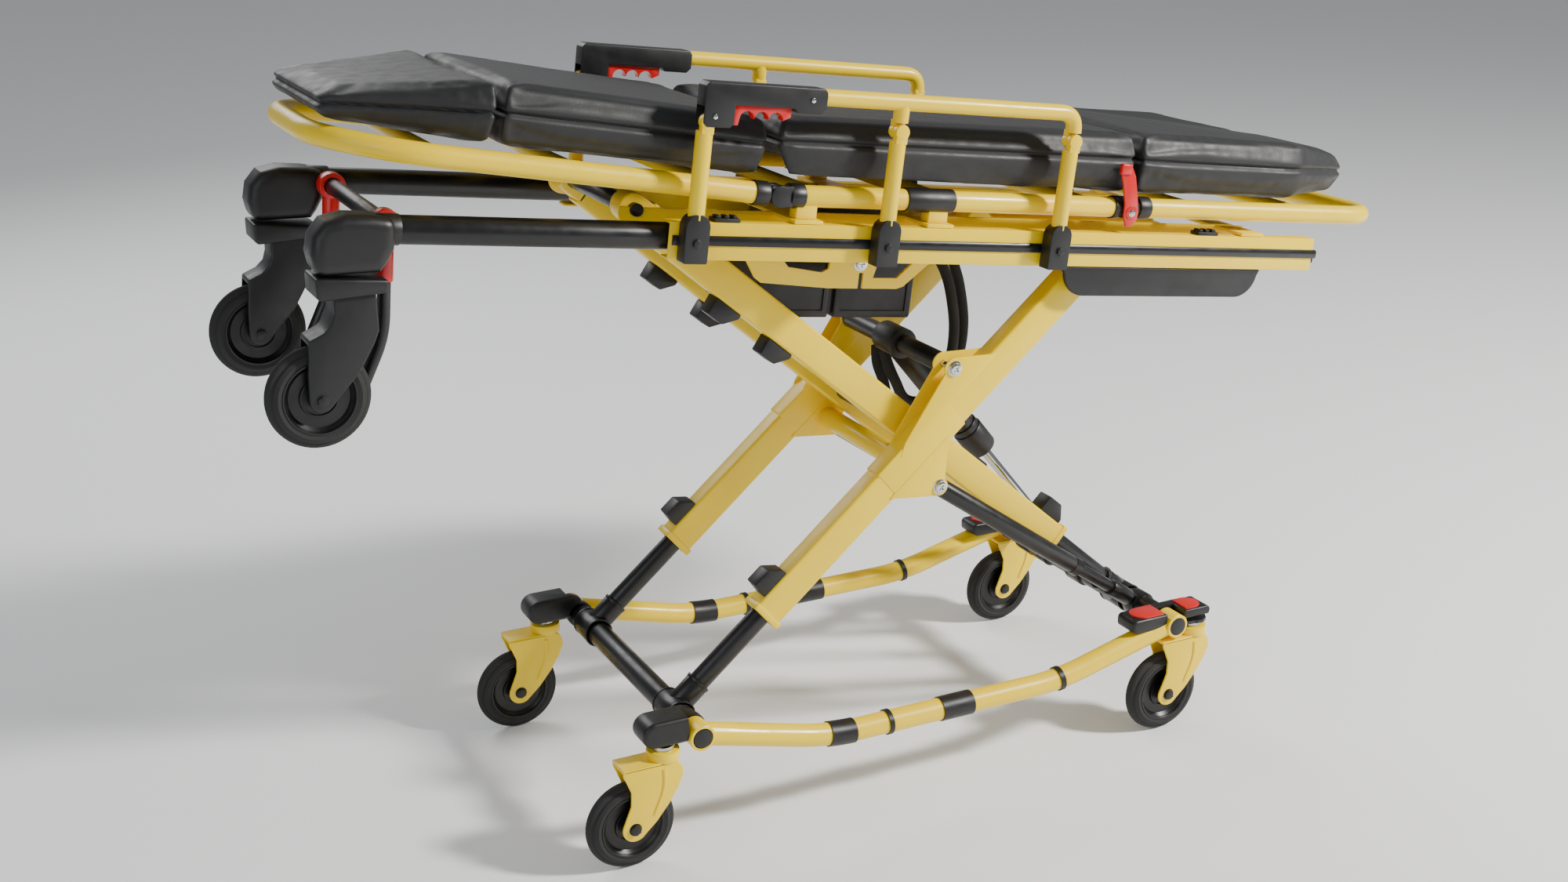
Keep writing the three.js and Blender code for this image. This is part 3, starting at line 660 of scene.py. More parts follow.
@dataclass
class Base:
    """Side tubes, caster arms, brake pedals and casters."""

    bolts: Fasteners
    wheels: Wheels
    axle_z: float = 211.0
    head_x: float = -409.0
    foot_x: float = 537.0
    tube_y: float = 277.0
    tube_radius: float = 19.5
    low_z: float = 149.0

    def side_tube(self, side: Side) -> None:
        """A bent yellow tube with black bands, and an eye at each end."""
        y = side.value * self.tube_y
        route = bent(
            [
                (self.head_x, y, self.axle_z),
                (-170, y, self.low_z),
                (292, y, self.low_z),
                (self.foot_x, y, self.axle_z),
            ],
            58,
            14,
        )
        parts = [tube(YELLOW, route, self.tube_radius, 8)]
        for start, end, proud in ((-172, -124, 2.2), (-61, -53, 2.6), (46, 108, 2.2), (288, 297, 2.6)):
            parts.append(tube(PLASTIC, stretch(route, start, end), self.tube_radius + proud, 8))
        for x, bore in ((self.head_x, 17.6), (self.foot_x, 17.0)):
            ends = sorted((side.value * 257.7, side.value * 298.8))
            rim = [
                (bore, ends[0]),
                (20.5, ends[0]),
                (22, ends[0] + 1.5),
                (22, ends[1] - 1.5),
                (20.5, ends[1]),
                (bore, ends[1]),
            ]
            parts.append(turned(YELLOW, rim, (x, 0, self.axle_z)))
        parts.append(disc(PLASTIC, self.foot_x, self.axle_z, 16.6, side.value * 258, side.value * 299.6, 1.6))
        parts.append(disc(COAT, self.foot_x, self.axle_z, 16, side.value * 238, side.value * 259))
        room = disc(YELLOW, self.head_x, self.axle_z, 17.6, side.value * 240, side.value * 310, 0)
        parts[0] = cut(parts[0], room)
        publish(f"base_side_tube_{side.word}", parts, FLOOR)

    def head_arm(self, side: Side) -> None:
        """The black arm that holds the swivel, beside the eye."""
        near, far = side.value * 240, side.value * 293
        outline = [*arc(-486, 229, 22.5, 90, 270, 14), (-424, 207), (-404, 214), (-404, 242), (-424, 251.5)]
        arm = slab(PLASTIC, outline, near, far, 7, 4)
        eye = disc(PLASTIC, self.head_x, self.axle_z, 23.4, side.value * 256.8, side.value * 300, 0)
        beyond = block(PLASTIC, (-431, side.value * 256.8, 180), (-380, side.value * 300, 262), 0)
        bore = disc(PLASTIC, self.head_x, self.axle_z, 17, side.value * 230, side.value * 300, 0)
        boss = disc(PLASTIC, self.head_x, self.axle_z, 24, near, side.value * 256.4, 1.5)
        arm_bore = disc(PLASTIC, self.head_x, self.axle_z, 17, side.value * 230, side.value * 300, 0)
        parts = [cut(arm, eye, beyond, arm_bore), cut(boss, bore)]
        publish(f"head_caster_arm_{side.word}", parts, FLOOR)

    def pedal(self, side: Side) -> None:
        """A brake pedal: two black lobes with red pads."""
        near, far = side.value * 240.4, side.value * 292.6
        middle = side.value * 266.5
        toe = [
            (520, 219),
            (520, 236),
            (452, 236),
            *arc(452, 227, 9, 90, 180, 5),
            (443, 214),
            (452, 209),
            (514, 209),
        ]
        heel = [(557, 219.3), (557, 236), (606, 236), *arc(606, 227, 9, 90, 0, 5), (613, 219.3)]
        parts = [slab(PLASTIC, toe, near, far, 5, 3), slab(PLASTIC, heel, near, far, 3, 3)]
        for start, end, tip in ((455, 513, -1), (562, 603, 1)):
            round_end, flat_end = (start + 22, end) if tip < 0 else (end - 22, start)
            pad = [*arc(round_end, 0, 22, 90, 90 - 180 * tip, 14), (flat_end, -22), (flat_end, 22)]
            parts.append(self.pad(pad, middle))
        parts.append(block(PLASTIC, (500, near, 226), (575, side.value * 256.2, 237), 2))
        hub = disc(PLASTIC, self.foot_x, self.axle_z, 22, near, side.value * 256.2, 1.5)
        bore = disc(PLASTIC, self.foot_x, self.axle_z, 17, side.value * 230, side.value * 262, 0)
        parts.append(cut(hub, bore))
        publish(f"brake_pedal_{side.word}", parts, FLOOR)

    def pad(self, outline: Outline, middle: float) -> Piece:
        """A red pad with a round end, lying on a pedal lobe."""
        pad = slab(RED, outline, 234.5, 239.0, 1.6, 2)
        pad.data.transform(Matrix(((1, 0, 0, 0), (0, 0, 1, middle), (0, 1, 0, 0), (0, 0, 0, 1))))
        activate(pad)
        bpy.ops.object.mode_set(mode="EDIT")
        bpy.ops.mesh.select_all(action="SELECT")
        bpy.ops.mesh.normals_make_consistent(inside=False)
        bpy.ops.object.mode_set(mode="OBJECT")
        return pad

    def fork(self, end: str, side: Side) -> None:
        """A pressed yellow fork with a raised rib on each cheek."""
        hub = pivot(f"wheel_spin_{end}_{side.word}")
        top = 107.0
        cheek = [
            (-18, top),
            (-17.5, 96),
            (-12, 84),
            (-5, 66),
            (-6, 42),
            *arc(0, 0, 21.5, 152, 322, 16),
            (38, 6),
            (60, 33),
            (76, 58),
            (85.5, 80),
            (84, 94),
            (78, 103),
            (68, top),
        ]
        back = [
            (68, top),
            (78, 103),
            (84, 94),
            (85.5, 80),
            (76, 58),
            (72, 60),
            (81, 80),
            (80, 92),
            (75, 99),
            (66, 103),
        ]
        parts = [
            block(YELLOW, (-18, -24, 101), (70, 24, top), 2.5, 3),
            slab(YELLOW, back, -23, 23, 0.8),
            rod(YELLOW, (60, 0, top - 3), (60, 0, 122), 27.4, 2.5),
            rod(STEEL, (60, 0, 120), (60, 0, 129.6), 19, 1),
        ]
        for sign in (-1, 1):
            parts.append(slab(YELLOW, cheek, sign * 20, sign * 24, 1.3, 3))
            rib = bent([(52, 0, 96), (54, 0, 66), (34, 0, 20)], 22, 8)
            parts.append(tube(YELLOW, [(p.x, sign * 23.4, p.z) for p in rib], 3.2, 3))
            parts.append(self.bolts.hex(PLASTIC, 0, sign * 23.6, 0, sign, 0.95))
            parts.append(disc(PLASTIC, 0, 0, 11, sign * 19.2, sign * 21))
        publish(f"caster_fork_{end}_{side.word}", parts, Station(hub, Vector((1, 0, 0))))

    def build(self) -> None:
        """Makes the base."""
        for side in Side:
            self.side_tube(side)
            self.head_arm(side)
            self.pedal(side)
            strap = frame["nodes"][f"foot_caster_arm_{side.word}"]
            strap.data.materials.clear()
            strap.data.materials.append(COAT.material())
            for end in ("head", "foot"):
                self.fork(end, side)
                self.wheels.build(f"caster_wheel_{end}_{side.word}", pivot(f"wheel_spin_{end}_{side.word}"))


# ---- Undercarriage ----
@dataclass
class Undercarriage:
    """The telescoping leg pairs, the struts, the hydraulic ram and its hoses."""

    bolts: Fasteners
    crossing: float = 621.6
    outer: tuple[float, float] = (162.0, 200.0)
    inner: tuple[float, float] = (104.0, 144.0)
    ear: tuple[float, float] = (107.6, 63.0)
    tab: tuple[float, float] = (-43.6, -78.9)
    half_height: float = 28.0

    def telescope(self, side: int, span: tuple[float, float], way: int) -> list[Piece]:
        """A lower leg tube with its collar and its sleeve on the cross tube."""
        y = side * sum(span) / 2
        leg = rod(COAT, (0, y, 0), (way * 340, y, 0), 19)
        collar = rod(COAT, (way * 10, y, 0), (way * 62, y, 0), 22.5, 1.2)
        band = rod(COAT, (way * 56, y, 0), (way * 62, y, 0), 23.6, 0.8)
        for part in (leg, collar, band):
            squeeze = Matrix.Translation((0, y, 0)) @ Matrix.Diagonal(
                (1, 15 / 19, 1, 1)
            ) @ Matrix.Translation((0, -y, 0))
            part.data.transform(squeeze)
        sleeve = disc(COAT, 0, 0, 25.5, y - 30, y + 30, 1.6)
        rims = [disc(COAT, 0, 0, 26.4, y + s * 26, y + s * 30, 0.8) for s in (-1, 1)]
        return [leg, collar, band, sleeve, *rims]

    def lower_frames(self) -> None:
        """The two black lower frames."""
        parts = [disc(COAT, 0, 0, 21, -236, 236, 1.2), disc(COAT, 0, 0, 16, -258, 258)]
        for side in (-1, 1):
            parts += [
                disc(PLASTIC, 0, 0, 16.4, side * 257, side * 299.4, 1.6),
                *self.telescope(side, self.outer, 1),
            ]
        publish("outer_leg_lower_frame", parts, OUTER)
        parts = [disc(COAT, 0, 0, 21, -236, 236, 1.2), disc(COAT, 0, 0, 25.5, -22, 22, 1.6)]
        for side in (-1, 1):
            parts += [
                disc(COAT, 0, 0, 25.5, side * 166, side * 196, 1.6),
                *self.telescope(side, self.inner, -1),
            ]
        publish("inner_leg_lower_frame", parts, INNER)

    def hollow_leg(self, x0: float, x1: float, side: int, span: tuple[float, float]) -> Piece:
        """A square leg with rounded corners, open at both ends."""
        low, high = sorted((side * span[0], side * span[1]))
        h = self.half_height
        leg = block(YELLOW, (x0, low, -h), (x1, high, h), 4.5, 4)
        room = block(PLASTIC, (x0 - 9, low + 3.5, -h + 3.5), (x1 + 9, high - 3.5, h - 3.5), 0)
        return cut(leg, room)

    def bumper(self, x: float, side: int, span: tuple[float, float], above: int) -> Piece:
        """A black rubber block on a leg."""
        low, high = sorted((side * (span[0] + 3), side * (span[1] - 3)))
        h = above * self.half_height
        outline = [
            (x - 27, h),
            (x - 24, h + above * 30),
            (x + 8, h + above * 30),
            (x + 27, h + above * 8),
            (x + 27, h),
        ]
        return slab(PLASTIC, outline, low, high, 2.2, 2)

    def lug(self, points: Outline, side: int) -> list[Piece]:
        """A pair of pressed plates on both faces of an outer leg."""
        outline = [(self.crossing + x, z) for x, z in points]
        return [slab(YELLOW, outline, side * a, side * b, 1.0) for a, b in ((160, 163.6), (198.4, 202))]

    def outer_legs(self) -> None:
        """The yellow outer legs with their crossing casting, ears and tabs."""
        end = self.crossing + 441
        along, above = self.ear
        ear = [(-62, 20), (-40, 34), *arc(along, above, 19, 160, 48, 10), (182, 20)]
        tab_x, tab_z = self.tab
        tab = [(28, -20), *arc(tab_x, tab_z, 16, 10, -130, 10), (-122, -20)]
        cross = disc(YELLOW, self.crossing - 46.4, -47.7, 19, -161, 161)
        parts = [cross]
        for side in (-1, 1):
            out = side * 201.5
            parts += [
                self.hollow_leg(210, end, side, self.outer),
                self.bumper(262, side, self.outer, 1),
                *self.lug(ear, side),
                *self.lug(tab, side),
                disc(COAT, self.crossing, 0, 14, side * 144.4, side * 163),
                disc(PLASTIC, end - 9, 0, 9, side * 199, side * 223.6, 1.5),
                self.bolts.cross(self.crossing + along, out, above, side, 1.05),
                self.bolts.cross(self.crossing + tab_x, out, tab_z, side, 1.05),
            ]
            for x0, x1, grow in ((210, 222, 3.0), (self.crossing - 110, self.crossing + 62, 2.0)):
                low, high = sorted((side * (162 - grow + 1), side * (200 + grow - 1)))
                shell = block(YELLOW, (x0, low, -28 - grow), (x1, high, 28 + grow), 2.2, 3)
                room = block(YELLOW, (x0 - 9, low + 4, -25), (x1 + 9, high - 4, 25), 0)
                parts.append(cut(shell, room))
        publish("outer_leg_frame", parts, OUTER)

    def inner_legs(self) -> None:
        """The yellow inner legs with their round heads."""
        pin = -(self.crossing + 664)
        parts = [disc(COAT, pin, 0, 14, -105, 105), disc(COAT, -self.crossing, 0, 16, -105, 105)]
        for side in (-1, 1):
            low, high = sorted((side * 102.5, side * 145.5))
            shell = block(YELLOW, (-225, low, -31), (-213, high, 31), 2.2, 3)
            room = block(YELLOW, (-234, low + 5, -24.5), (-204, high - 5, 24.5), 0)
            head = [*arc(pin, 0, 24, 90, 270, 16), (pin + 34, -24), (pin + 34, 24)]
            parts += [
                self.hollow_leg(pin + 24, -213, side, self.inner),
                cut(shell, room),
                slab(YELLOW, head, side * self.inner[0], side * self.inner[1], 3, 3),
                disc(COAT, pin, 0, 10, side * 143, side * 159.5),
                self.bumper(-262, side, self.inner, 1),
                self.bumper(-1050, side, self.inner, -1),
                self.bumper(-930, side, self.inner, -1),
            ]
        publish("inner_leg_frame", parts, INNER)

    def struts(self) -> None:
        """The black support struts."""
        reach = (INNER.level.translation - STRUT.level.translation).length / MM
        rod_end = reach - 30.5
        for side in Side:
            y = side.value * 181
            body = rod(COAT, (0, y, 0), (380, y, 0), 16, 1)
            bore = rod(COAT, (30, y, 0), (390, y, 0), 12.6, 0)
            parts = [
                cut(body, bore),
                disc(COAT, 0, 0, 14.5, y - 15, y + 15, 1.5),
                tube(COAT, [(362, y, 0), (379, y, 0)], 16.6, 8),
            ]
            parts[-1] = cut(parts[-1], rod(COAT, (350, y, 0), (390, y, 0), 12.6, 0))
            publish(f"support_strut_tube_{side.word}", parts, STRUT)
            shaft = rod(COAT, (300, y, 0), (rod_end, y, 0), 11.5)
            foot = rod(COAT, (rod_end - 52, y, 0), (rod_end, y, 0), 15.5, 1.5)
            publish(f"support_strut_rod_{side.word}", [shaft, foot], STRUT)

    def ram(self) -> None:
        """The hydraulic cylinder and its polished rod."""
        reach = (INNER.level.translation - RAM.level.translation).length / MM
        end = reach - 30.5
        barrel = rod(COAT, (0, 0, 0), (300, 0, 0), 23, 1)
        gland = rod(PLASTIC, (245, 0, 0), (300, 0, 0), 28, 3)
        bores = [rod(COAT, (19, 0, 0), (309, 0, 0), 9.8, 0) for _ in range(2)]
        parts = [
            cut(barrel, bores[0]),
            cut(gland, bores[1]),
            rod(PLASTIC, (232, 0, 0), (246, 0, 0), 25.5, 1.2),
            disc(COAT, 0, 0, 17, -158.5, 158.5),
            disc(STEEL, 0, 0, 6, -203, 203),
            disc(PLASTIC, 0, 0, 27, -34, 34, 3),
        ]
        parts[2] = cut(parts[2], rod(COAT, (200, 0, 0), (309, 0, 0), 9.8, 0))
        publish("hydraulic_cylinder", parts, RAM)
        shaft = rod(STEEL, (298, 0, 0), (end, 0, 0), 9)
        clevis = rod(COAT, (end - 42, 0, 0), (end, 0, 0), 15.5, 1.5)
        publish("piston_rod", [shaft, clevis], RAM)

    def hoses(self) -> None:
        """Two hoses that leave the pump unit and loop back up to the cylinder's hub."""
        for node, y, spread in (("hydraulic_hose_inner", 50.0, 0.0), ("hydraulic_hose_outer", 76.0, 36.0)):
            route = [
                (93, y, 876),
                (132, y, 884),
                (178, y, 882),
                (216 + spread, y, 862),
                (240 + spread, y, 822),
                (254 + spread, y, 770),
                (260 + spread, y, 715),
                (252 + spread, y, 660),
                (226 + spread, y, 615),
                (190, y, 592 - spread / 2),
                (158 - spread / 3, y, 602 - spread / 2),
                (140 - spread / 3, y, 634),
                (124 - spread / 4, y, 668),
                (113, y, 700),
            ]
            path = self.smooth(route, 8)
            parts = [tube(HOSE, path, 9.8, 5)]
            piece = publish(node, parts, FLOOR)
            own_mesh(piece)

    def smooth(self, points: Sequence[Point], steps: int) -> list[Vector]:
        """A curve through points, as a Catmull-Rom spline."""
        knots = [Vector(point) for point in points]
        ends = [2 * knots[0] - knots[1], *knots, 2 * knots[-1] - knots[-2]]
        path = []
        for a, b, c, d in zip(ends, ends[1:], ends[2:], ends[3:]):
            for i in range(steps):
                t = i / steps
                path.append(
                    0.5 * (
                        2 * b + (c - a) * t + (
                            2 * a - 5 * b + 4 * c - d
                        ) * t * t + (3 * b - a - 3 * c + d) * t**3
                    )
                )
        return [*path, knots[-1]]

    def build(self) -> None:
        """Makes the undercarriage."""
        self.lower_frames()
        self.outer_legs()
        self.inner_legs()
        self.struts()
        self.ram()
        self.hoses()


# ---- Litter ----
@dataclass
class Litter:
    """Side channels, subframe, pump unit and the three sections' tube frames."""

    bolts: Fasteners
    start: float = -425.0
    end: float = 845.0
    tube_y: float = 205.0
    tube_radius: float = 17.0
    hinge_w: float = 73.0
    back_u: float = -240.0
    leg_u: float = 430.0

    def channel(self, side: Side) -> None:
        """A yellow channel open towards the middle, with a black strip along its outer face."""
        s = side.value
        profile = [(203, -26), (229, -26), (229, 32), (203, 32), (203, 28), (225, 28), (225, -22), (203, -22)]
        shell = slab(YELLOW, [(s * y, w) for y, w in profile], self.start, self.end, 1.6, 2, True)
        strip = [(228, -4), (231.5, -3.4), (233.4, 0), (233.4, 8), (231.5, 11.4), (228, 12)]
        trim = slab(COAT, [(s * y, w) for y, w in strip], self.start + 5, self.end + 5.5, 0.6, 2, True)
        parts = [shell, trim]
        parts.append(block(PLASTIC, (self.end - 1, s * 206, -12), (self.end + 5, s * 228, 8), 1.5))
        for u in (-330, 600):
            parts.append(block(PLASTIC, (u - 22, s * 204, 32), (u + 22, s * 228, 38), 1.5))
            parts += [
                block(PLASTIC, (u + d - 4, s * 208, 37), (u + d + 4, s * 224, 42), 1.0)
                for d in (-14, 0, 14)
            ]
        publish(f"side_channel_{side.word}", parts, LITTER)

    def skirt(self, side: Side) -> None:
        """The black skirt plate under the channel's foot half."""
        outline = [
            (300, -26.6),
            *arc(352, -32, 45, 188, 270, 12),
            *arc(682, -32, 45, 270, 352, 12),
            (732, -26.6),
        ]
        plate = slab(PLASTIC, outline, side.value * 218.5, side.value * 227, 2.5, 3)
        publish(f"foot_skirt_{side.word}", [plate], LITTER)

    def subframe(self) -> None:
        """The yellow subframe: two pressed plates with windows, and straps across."""
        outline = [
            (-453, 38.4),
            *arc(-453, 28.9, 24, 155, 262, 10),
            (-330, -12),
            (-262, -29),
            (-236, -68),
            (-224, -76),
            (-100, -84),
            (-46, -84),
            (-46, -58),
            (-38, -58),
            (-38, -84),
            (28, -84),
            (40, -80),
            (95, -32),
            (120, 22),
            (740, 22),
            (740, 38.4),
        ]
        parts = []
        for side in (-1, 1):
            plate = slab(YELLOW, outline, side * 148.3, side * 153.7, 1.0)
            windows = [
                slab(
                    YELLOW,
                    [(-196, -30), (-100, -30), (-104, -52), (-116, -58), (-178, -50)],
                    side * 140,
                    side * 160,
                    0,
                ),
                slab(YELLOW, [(-14, -44), (64, -30), (26, -66), (-20, -66)], side * 140, side * 160, 0),
            ]
            bore = disc(YELLOW, -449.1, 34.9, 10.8, side * 140, side * 160, 0)
            parts.append(cut(plate, *windows, bore))
            parts.append(self.bolts.cross(-46, side * 153.5, -42, side, 1.0))
        parts += [block(YELLOW, (u - 25, -227.5, 32.6), (u + 25, 227.5, 38.4), 1.0) for u in (-190, 50, 700)]
        publish("litter_subframe", parts, LITTER)

    def pump(self) -> None:
        """The black pump unit with panel recesses."""
        parts = [
            block(PLASTIC, (-150, -60, -45), (50, 60, 31.8), 1.5),
            block(PLASTIC, (-70, -90, -140), (-48, 90, -50), 1),
        ]
        for u0, u1 in ((-200, -64), (-54, 95)):
            case = block(PLASTIC, (u0, -98, -146), (u1, 98, -44), 4, 3)
            rooms = [
                block(PLASTIC, (u0 + 12, s * 95.5, -134), (u1 - 12, s * 104, -56), 0) for s in (-1, 1)
            ]
            parts.append(cut(case, *rooms))
        publish("hydraulic_unit", parts, LITTER)

    def half_knuckle(self, side: int, way: int, inner: bool, u: float = 0.0, w: float = 0.0) -> list[Piece]:
        """Half of a barrel hinge in black, on a tube's end."""
        y0, y1 = (188.0, 204.7) if inner else (205.3, 222.0)
        barrel = disc(PLASTIC, u, w, self.tube_radius, side * y0, side * y1, 1.2)
        low, high = sorted((side * y0, side * y1))
        web = block(PLASTIC, (u, low + 0.7, w - 16), (u + way * 21, high - 0.7, w + 16), 1.2)
        return [barrel, web]

    def seat(self) -> None:
        """The seat section's two tubes and its cross tubes."""
        parts = []
        for s in (-1, 1):
            y = s * self.tube_y
            parts += [
                rod(YELLOW, (self.back_u + 18.6, y, 73), (self.leg_u - 18.6, y, 73), 17),
                rod(PLASTIC, (self.back_u + 18.6, y, 73), (-196, y, 73), 19.5, 1.5),
                rod(PLASTIC, (-12, y, 73), (77, y, 73), 19.5, 1.5),
                rod(PLASTIC, (396, y, 73), (self.leg_u - 18.6, y, 73), 19.5, 1.5),
                *self.half_knuckle(s, 1, False, self.back_u, self.hinge_w),
                *self.half_knuckle(s, -1, False, self.leg_u, self.hinge_w),
            ]
            parts += [block(YELLOW, (u - 18, s * 192, 38.8), (u + 18, s * 216, 73), 1.5) for u in (-190, 50)]
        parts += [disc(YELLOW, u, 73, 13, -205, 205) for u in (-170, 60, 360)]
        publish("seat_frame", parts, LITTER)

    def section(
        self,
        node: str,
        station: Station,
        way: int,
        corners: Outline,
        reach: float,
        bars: Sequence[float],
    ) -> None:
        """A hinged section: two tubes joined by a loop at the far end."""
        route = [(way * x, -y, 0) for x, y in corners] + [(way * x, y, 0) for x, y in reversed(corners)]
        parts = [tube(YELLOW, bent(route, reach, 12), self.tube_radius, 8)]
        for s in (-1, 1):
            parts += self.half_knuckle(s, way, True)
            parts.append(rod(PLASTIC, (way * 18.6, s * 205, 0), (way * 43, s * 205, 0), 19.5, 1.5))
        parts += [disc(YELLOW, way * x, 0, 12, -205, 205) for x in bars]
        publish(node, parts, station)

    def lever(self) -> None:
        """The red lever at the leg section's hinge."""
        outline = [
            (4, -24),
            (14, -12),
            (15, 0),
            (8, 30),
            (-2, 62),
            (-12, 78),
            (-34, 80),
            (-36, 74),
            (-24, 44),
            (-16, 14),
            (-15, -6),
            (-8, -24),
        ]
        parts = [
            slab(RED, outline, -225, -230, 1.6, 2),
            block(RED, (-36, -225, 64), (-14, -233.6, 82), 2.5, 3),
            disc(RED, 0, 0, 12, -222.4, -231.4, 1.2),
            self.bolts.cross(0, -231, 0, -1, 0.5),
        ]
        publish(
            "foot_release_lever",
            parts,
            Station(pivot("foot_lever_turn") - Vector((0, pivot("foot_lever_turn").y, 0)), LITTER_WAY),
        )

    def build(self) -> None:
        """Makes the litter's hard parts."""
        for side in Side:
            self.channel(side)
            self.skirt(side)
        self.subframe()
        self.pump()
        self.seat()
        self.section("backrest_frame", BACK, -1, [(18.6, 205), (588, 205), (697, 122)], 62, (100, 330, 540))
        self.section("leg_frame", LEG, 1, [(18.6, 205), (572, 205)], 78, (150, 400))
        self.lever()


# ---- Mattress ----
@dataclass
class Cushion:
    """One mattress section, filled by cloth simulation and grooved along its seam.

    Corners are stations along X, each with x, half width, low, seam and high, in millimetres.
    """

    node: str
    station: Station
    corners: Sequence[tuple[float, float, float, float, float]]
    low_lip: float = 2.0
    high_lip: float = 2.0
    shoulder: float = 13.0
    voxel: float = 0.005
    cap: float = 0.0035
    groove: float = 0.0065
    groove_width: float = 0.0042
    fill: float = 0.85

    def shell(self) -> Piece:
        """The closed start shape: three rings, widest at the seam."""
        deselect()
        bpy.ops.mesh.primitive_cube_add(size=1)
        piece = bpy.context.object
        rings: list[list[Vector]] = [[], [], []]
        right = [(c, -1) for c in self.corners]
        left = [(c, 1) for c in reversed(self.corners)]
        for (x, half, low, seam, high), s in right + left:
            inward = {self.corners[0][0]: self.low_lip, self.corners[-1][0]: -self.high_lip}.get(x, 0.0)
            rings[0].append(Vector((x + inward, s * (half - self.shoulder), low)))
            rings[1].append(Vector((x, s * half, seam)))
            rings[2].append(Vector((x + inward, s * (half - self.shoulder), high)))
        count = len(rings[0])
        verts = [point * MM for ring in rings for point in ring]
        faces: list[tuple[int, ...]] = [tuple(reversed(range(count))), tuple(range(2 * count, 3 * count))]
        for level in (0, 1):
            for i in range(count):
                a, b = level * count + i, level * count + (i + 1) % count
                faces.append((a, b, b + count, a + count))
        piece.data.clear_geometry()
        piece.data.from_pydata(verts, [], faces)
        piece.data.update()
        activate(piece)
        bpy.ops.object.mode_set(mode="EDIT")
        bpy.ops.mesh.select_all(action="SELECT")
        bpy.ops.mesh.normals_make_consistent(inside=False)
        bpy.ops.object.mode_set(mode="OBJECT")
        apply(piece, "BEVEL", width=8 * MM, segments=3, limit_method="ANGLE", angle_limit=math.radians(20))
        return piece

    def seam_height(self, x: float) -> float:
        """The seam's height at a place along the cushion, in metres."""
        stations = sorted((c[0] * MM, c[3] * MM) for c in self.corners)
        for (x0, z0), (x1, z1) in zip(stations, stations[1:]):
            if x <= x1:
                return z0 + (z1 - z0) * max(0.0, (x - x0) / (x1 - x0))
        return stations[-1][1]

    def inflate(self, piece: Piece) -> None:
        """Fills the cushion under pressure with its seam held, and caps how far each point moves."""
        rest = [vertex.co.copy() for vertex in piece.data.vertices]
        held = piece.vertex_groups.new(name="held")
        near = [v.index for v in piece.data.vertices if abs(v.co.z - self.seam_height(v.co.x)) < 0.007]
        held.add(near, 1.0, "REPLACE")
        cloth = piece.modifiers.new("filling", "CLOTH")
        cloth.settings.use_pressure = True
        cloth.settings.uniform_pressure_force = 4.0
        cloth.settings.effector_weights.gravity = 0.0
        cloth.settings.quality = 5
        for stiffness in ("tension_stiffness", "compression_stiffness", "shear_stiffness"):
            setattr(cloth.settings, stiffness, 60.0)
        cloth.settings.bending_stiffness = 12.0
        cloth.settings.vertex_group_mass = "held"
        cloth.point_cache.frame_start = 1
        cloth.point_cache.frame_end = 20
        scene = bpy.context.scene
        for number in range(1, 21):
            scene.frame_set(number)
        activate(piece)
        bpy.ops.object.modifier_apply(modifier=cloth.name)
        scene.frame_set(1)
        for vertex, start in zip(piece.data.vertices, rest, strict=True):
            way = vertex.co - start
            if way.length > self.cap:
                vertex.co = start + way.normalized() * self.cap
        apply(piece, "SMOOTH", factor=0.5, iterations=2)

    def press_seam(self, piece: Piece) -> None:
        """Presses a groove along the seam."""
        piece.data.update()
        normals = [vertex.normal.copy() for vertex in piece.data.vertices]
        for vertex, normal in zip(piece.data.vertices, normals, strict=True):
            if abs(normal.z) > 0.75:
                continue
            off = (vertex.co.z - self.seam_height(vertex.co.x)) / self.groove_width
            vertex.co -= Vector((normal.x, normal.y, 0)).normalized() * self.groove * math.exp(-off * off)

    def build(self) -> Piece:
        """Makes the section.

        Returns:
            The finished cushion.
        """
        piece = self.shell()
        piece.data.remesh_voxel_size = self.voxel
        activate(piece)
        bpy.ops.object.voxel_remesh()
        apply(piece, "SMOOTH", factor=0.5, iterations=3)
        self.inflate(piece)
        apply(piece, "SUBSURF", levels=1, render_levels=1)
        self.press_seam(piece)
        piece.data.materials.clear()
        piece.data.materials.append(VINYL.material())
        piece.data.transform(Matrix.Scale(1 / MM, 4))
        made = publish(self.node, [piece], self.station)
        for polygon in made.data.polygons:
            polygon.use_smooth = True
        return made


@dataclass
class Mattress:
    """The four mattress sections."""

    def build(self) -> None:
        """Makes the sections, and gives the two hinged ones, back and leg, meshes of their own."""
        seat_corners = [(-250, 219, 142, 156, 190), (-226, 219, 99, 156, 190), (429, 219, 99, 156, 194)]
        Cushion("mattress_seat", LITTER, seat_corners).build()
        back = Cushion("mattress_back", BACK, [(-455.5, 219, 26, 72, 112), (-35, 219, 28, 76, 111)]).build()
        Cushion(
            "mattress_head", BACK, [(-704, 149, 26, 46, 64), (-465.5, 219, 26, 71, 112)], low_lip=12.0
        ).build()
        leg_corners = [(12, 219, 26, 81, 122), (366, 219, 26, 79, 121), (559, 120, 28, 68, 98)]
        leg = Cushion("mattress_leg", LEG, leg_corners, high_lip=12.0).build()
        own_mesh(back)
        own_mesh(leg)


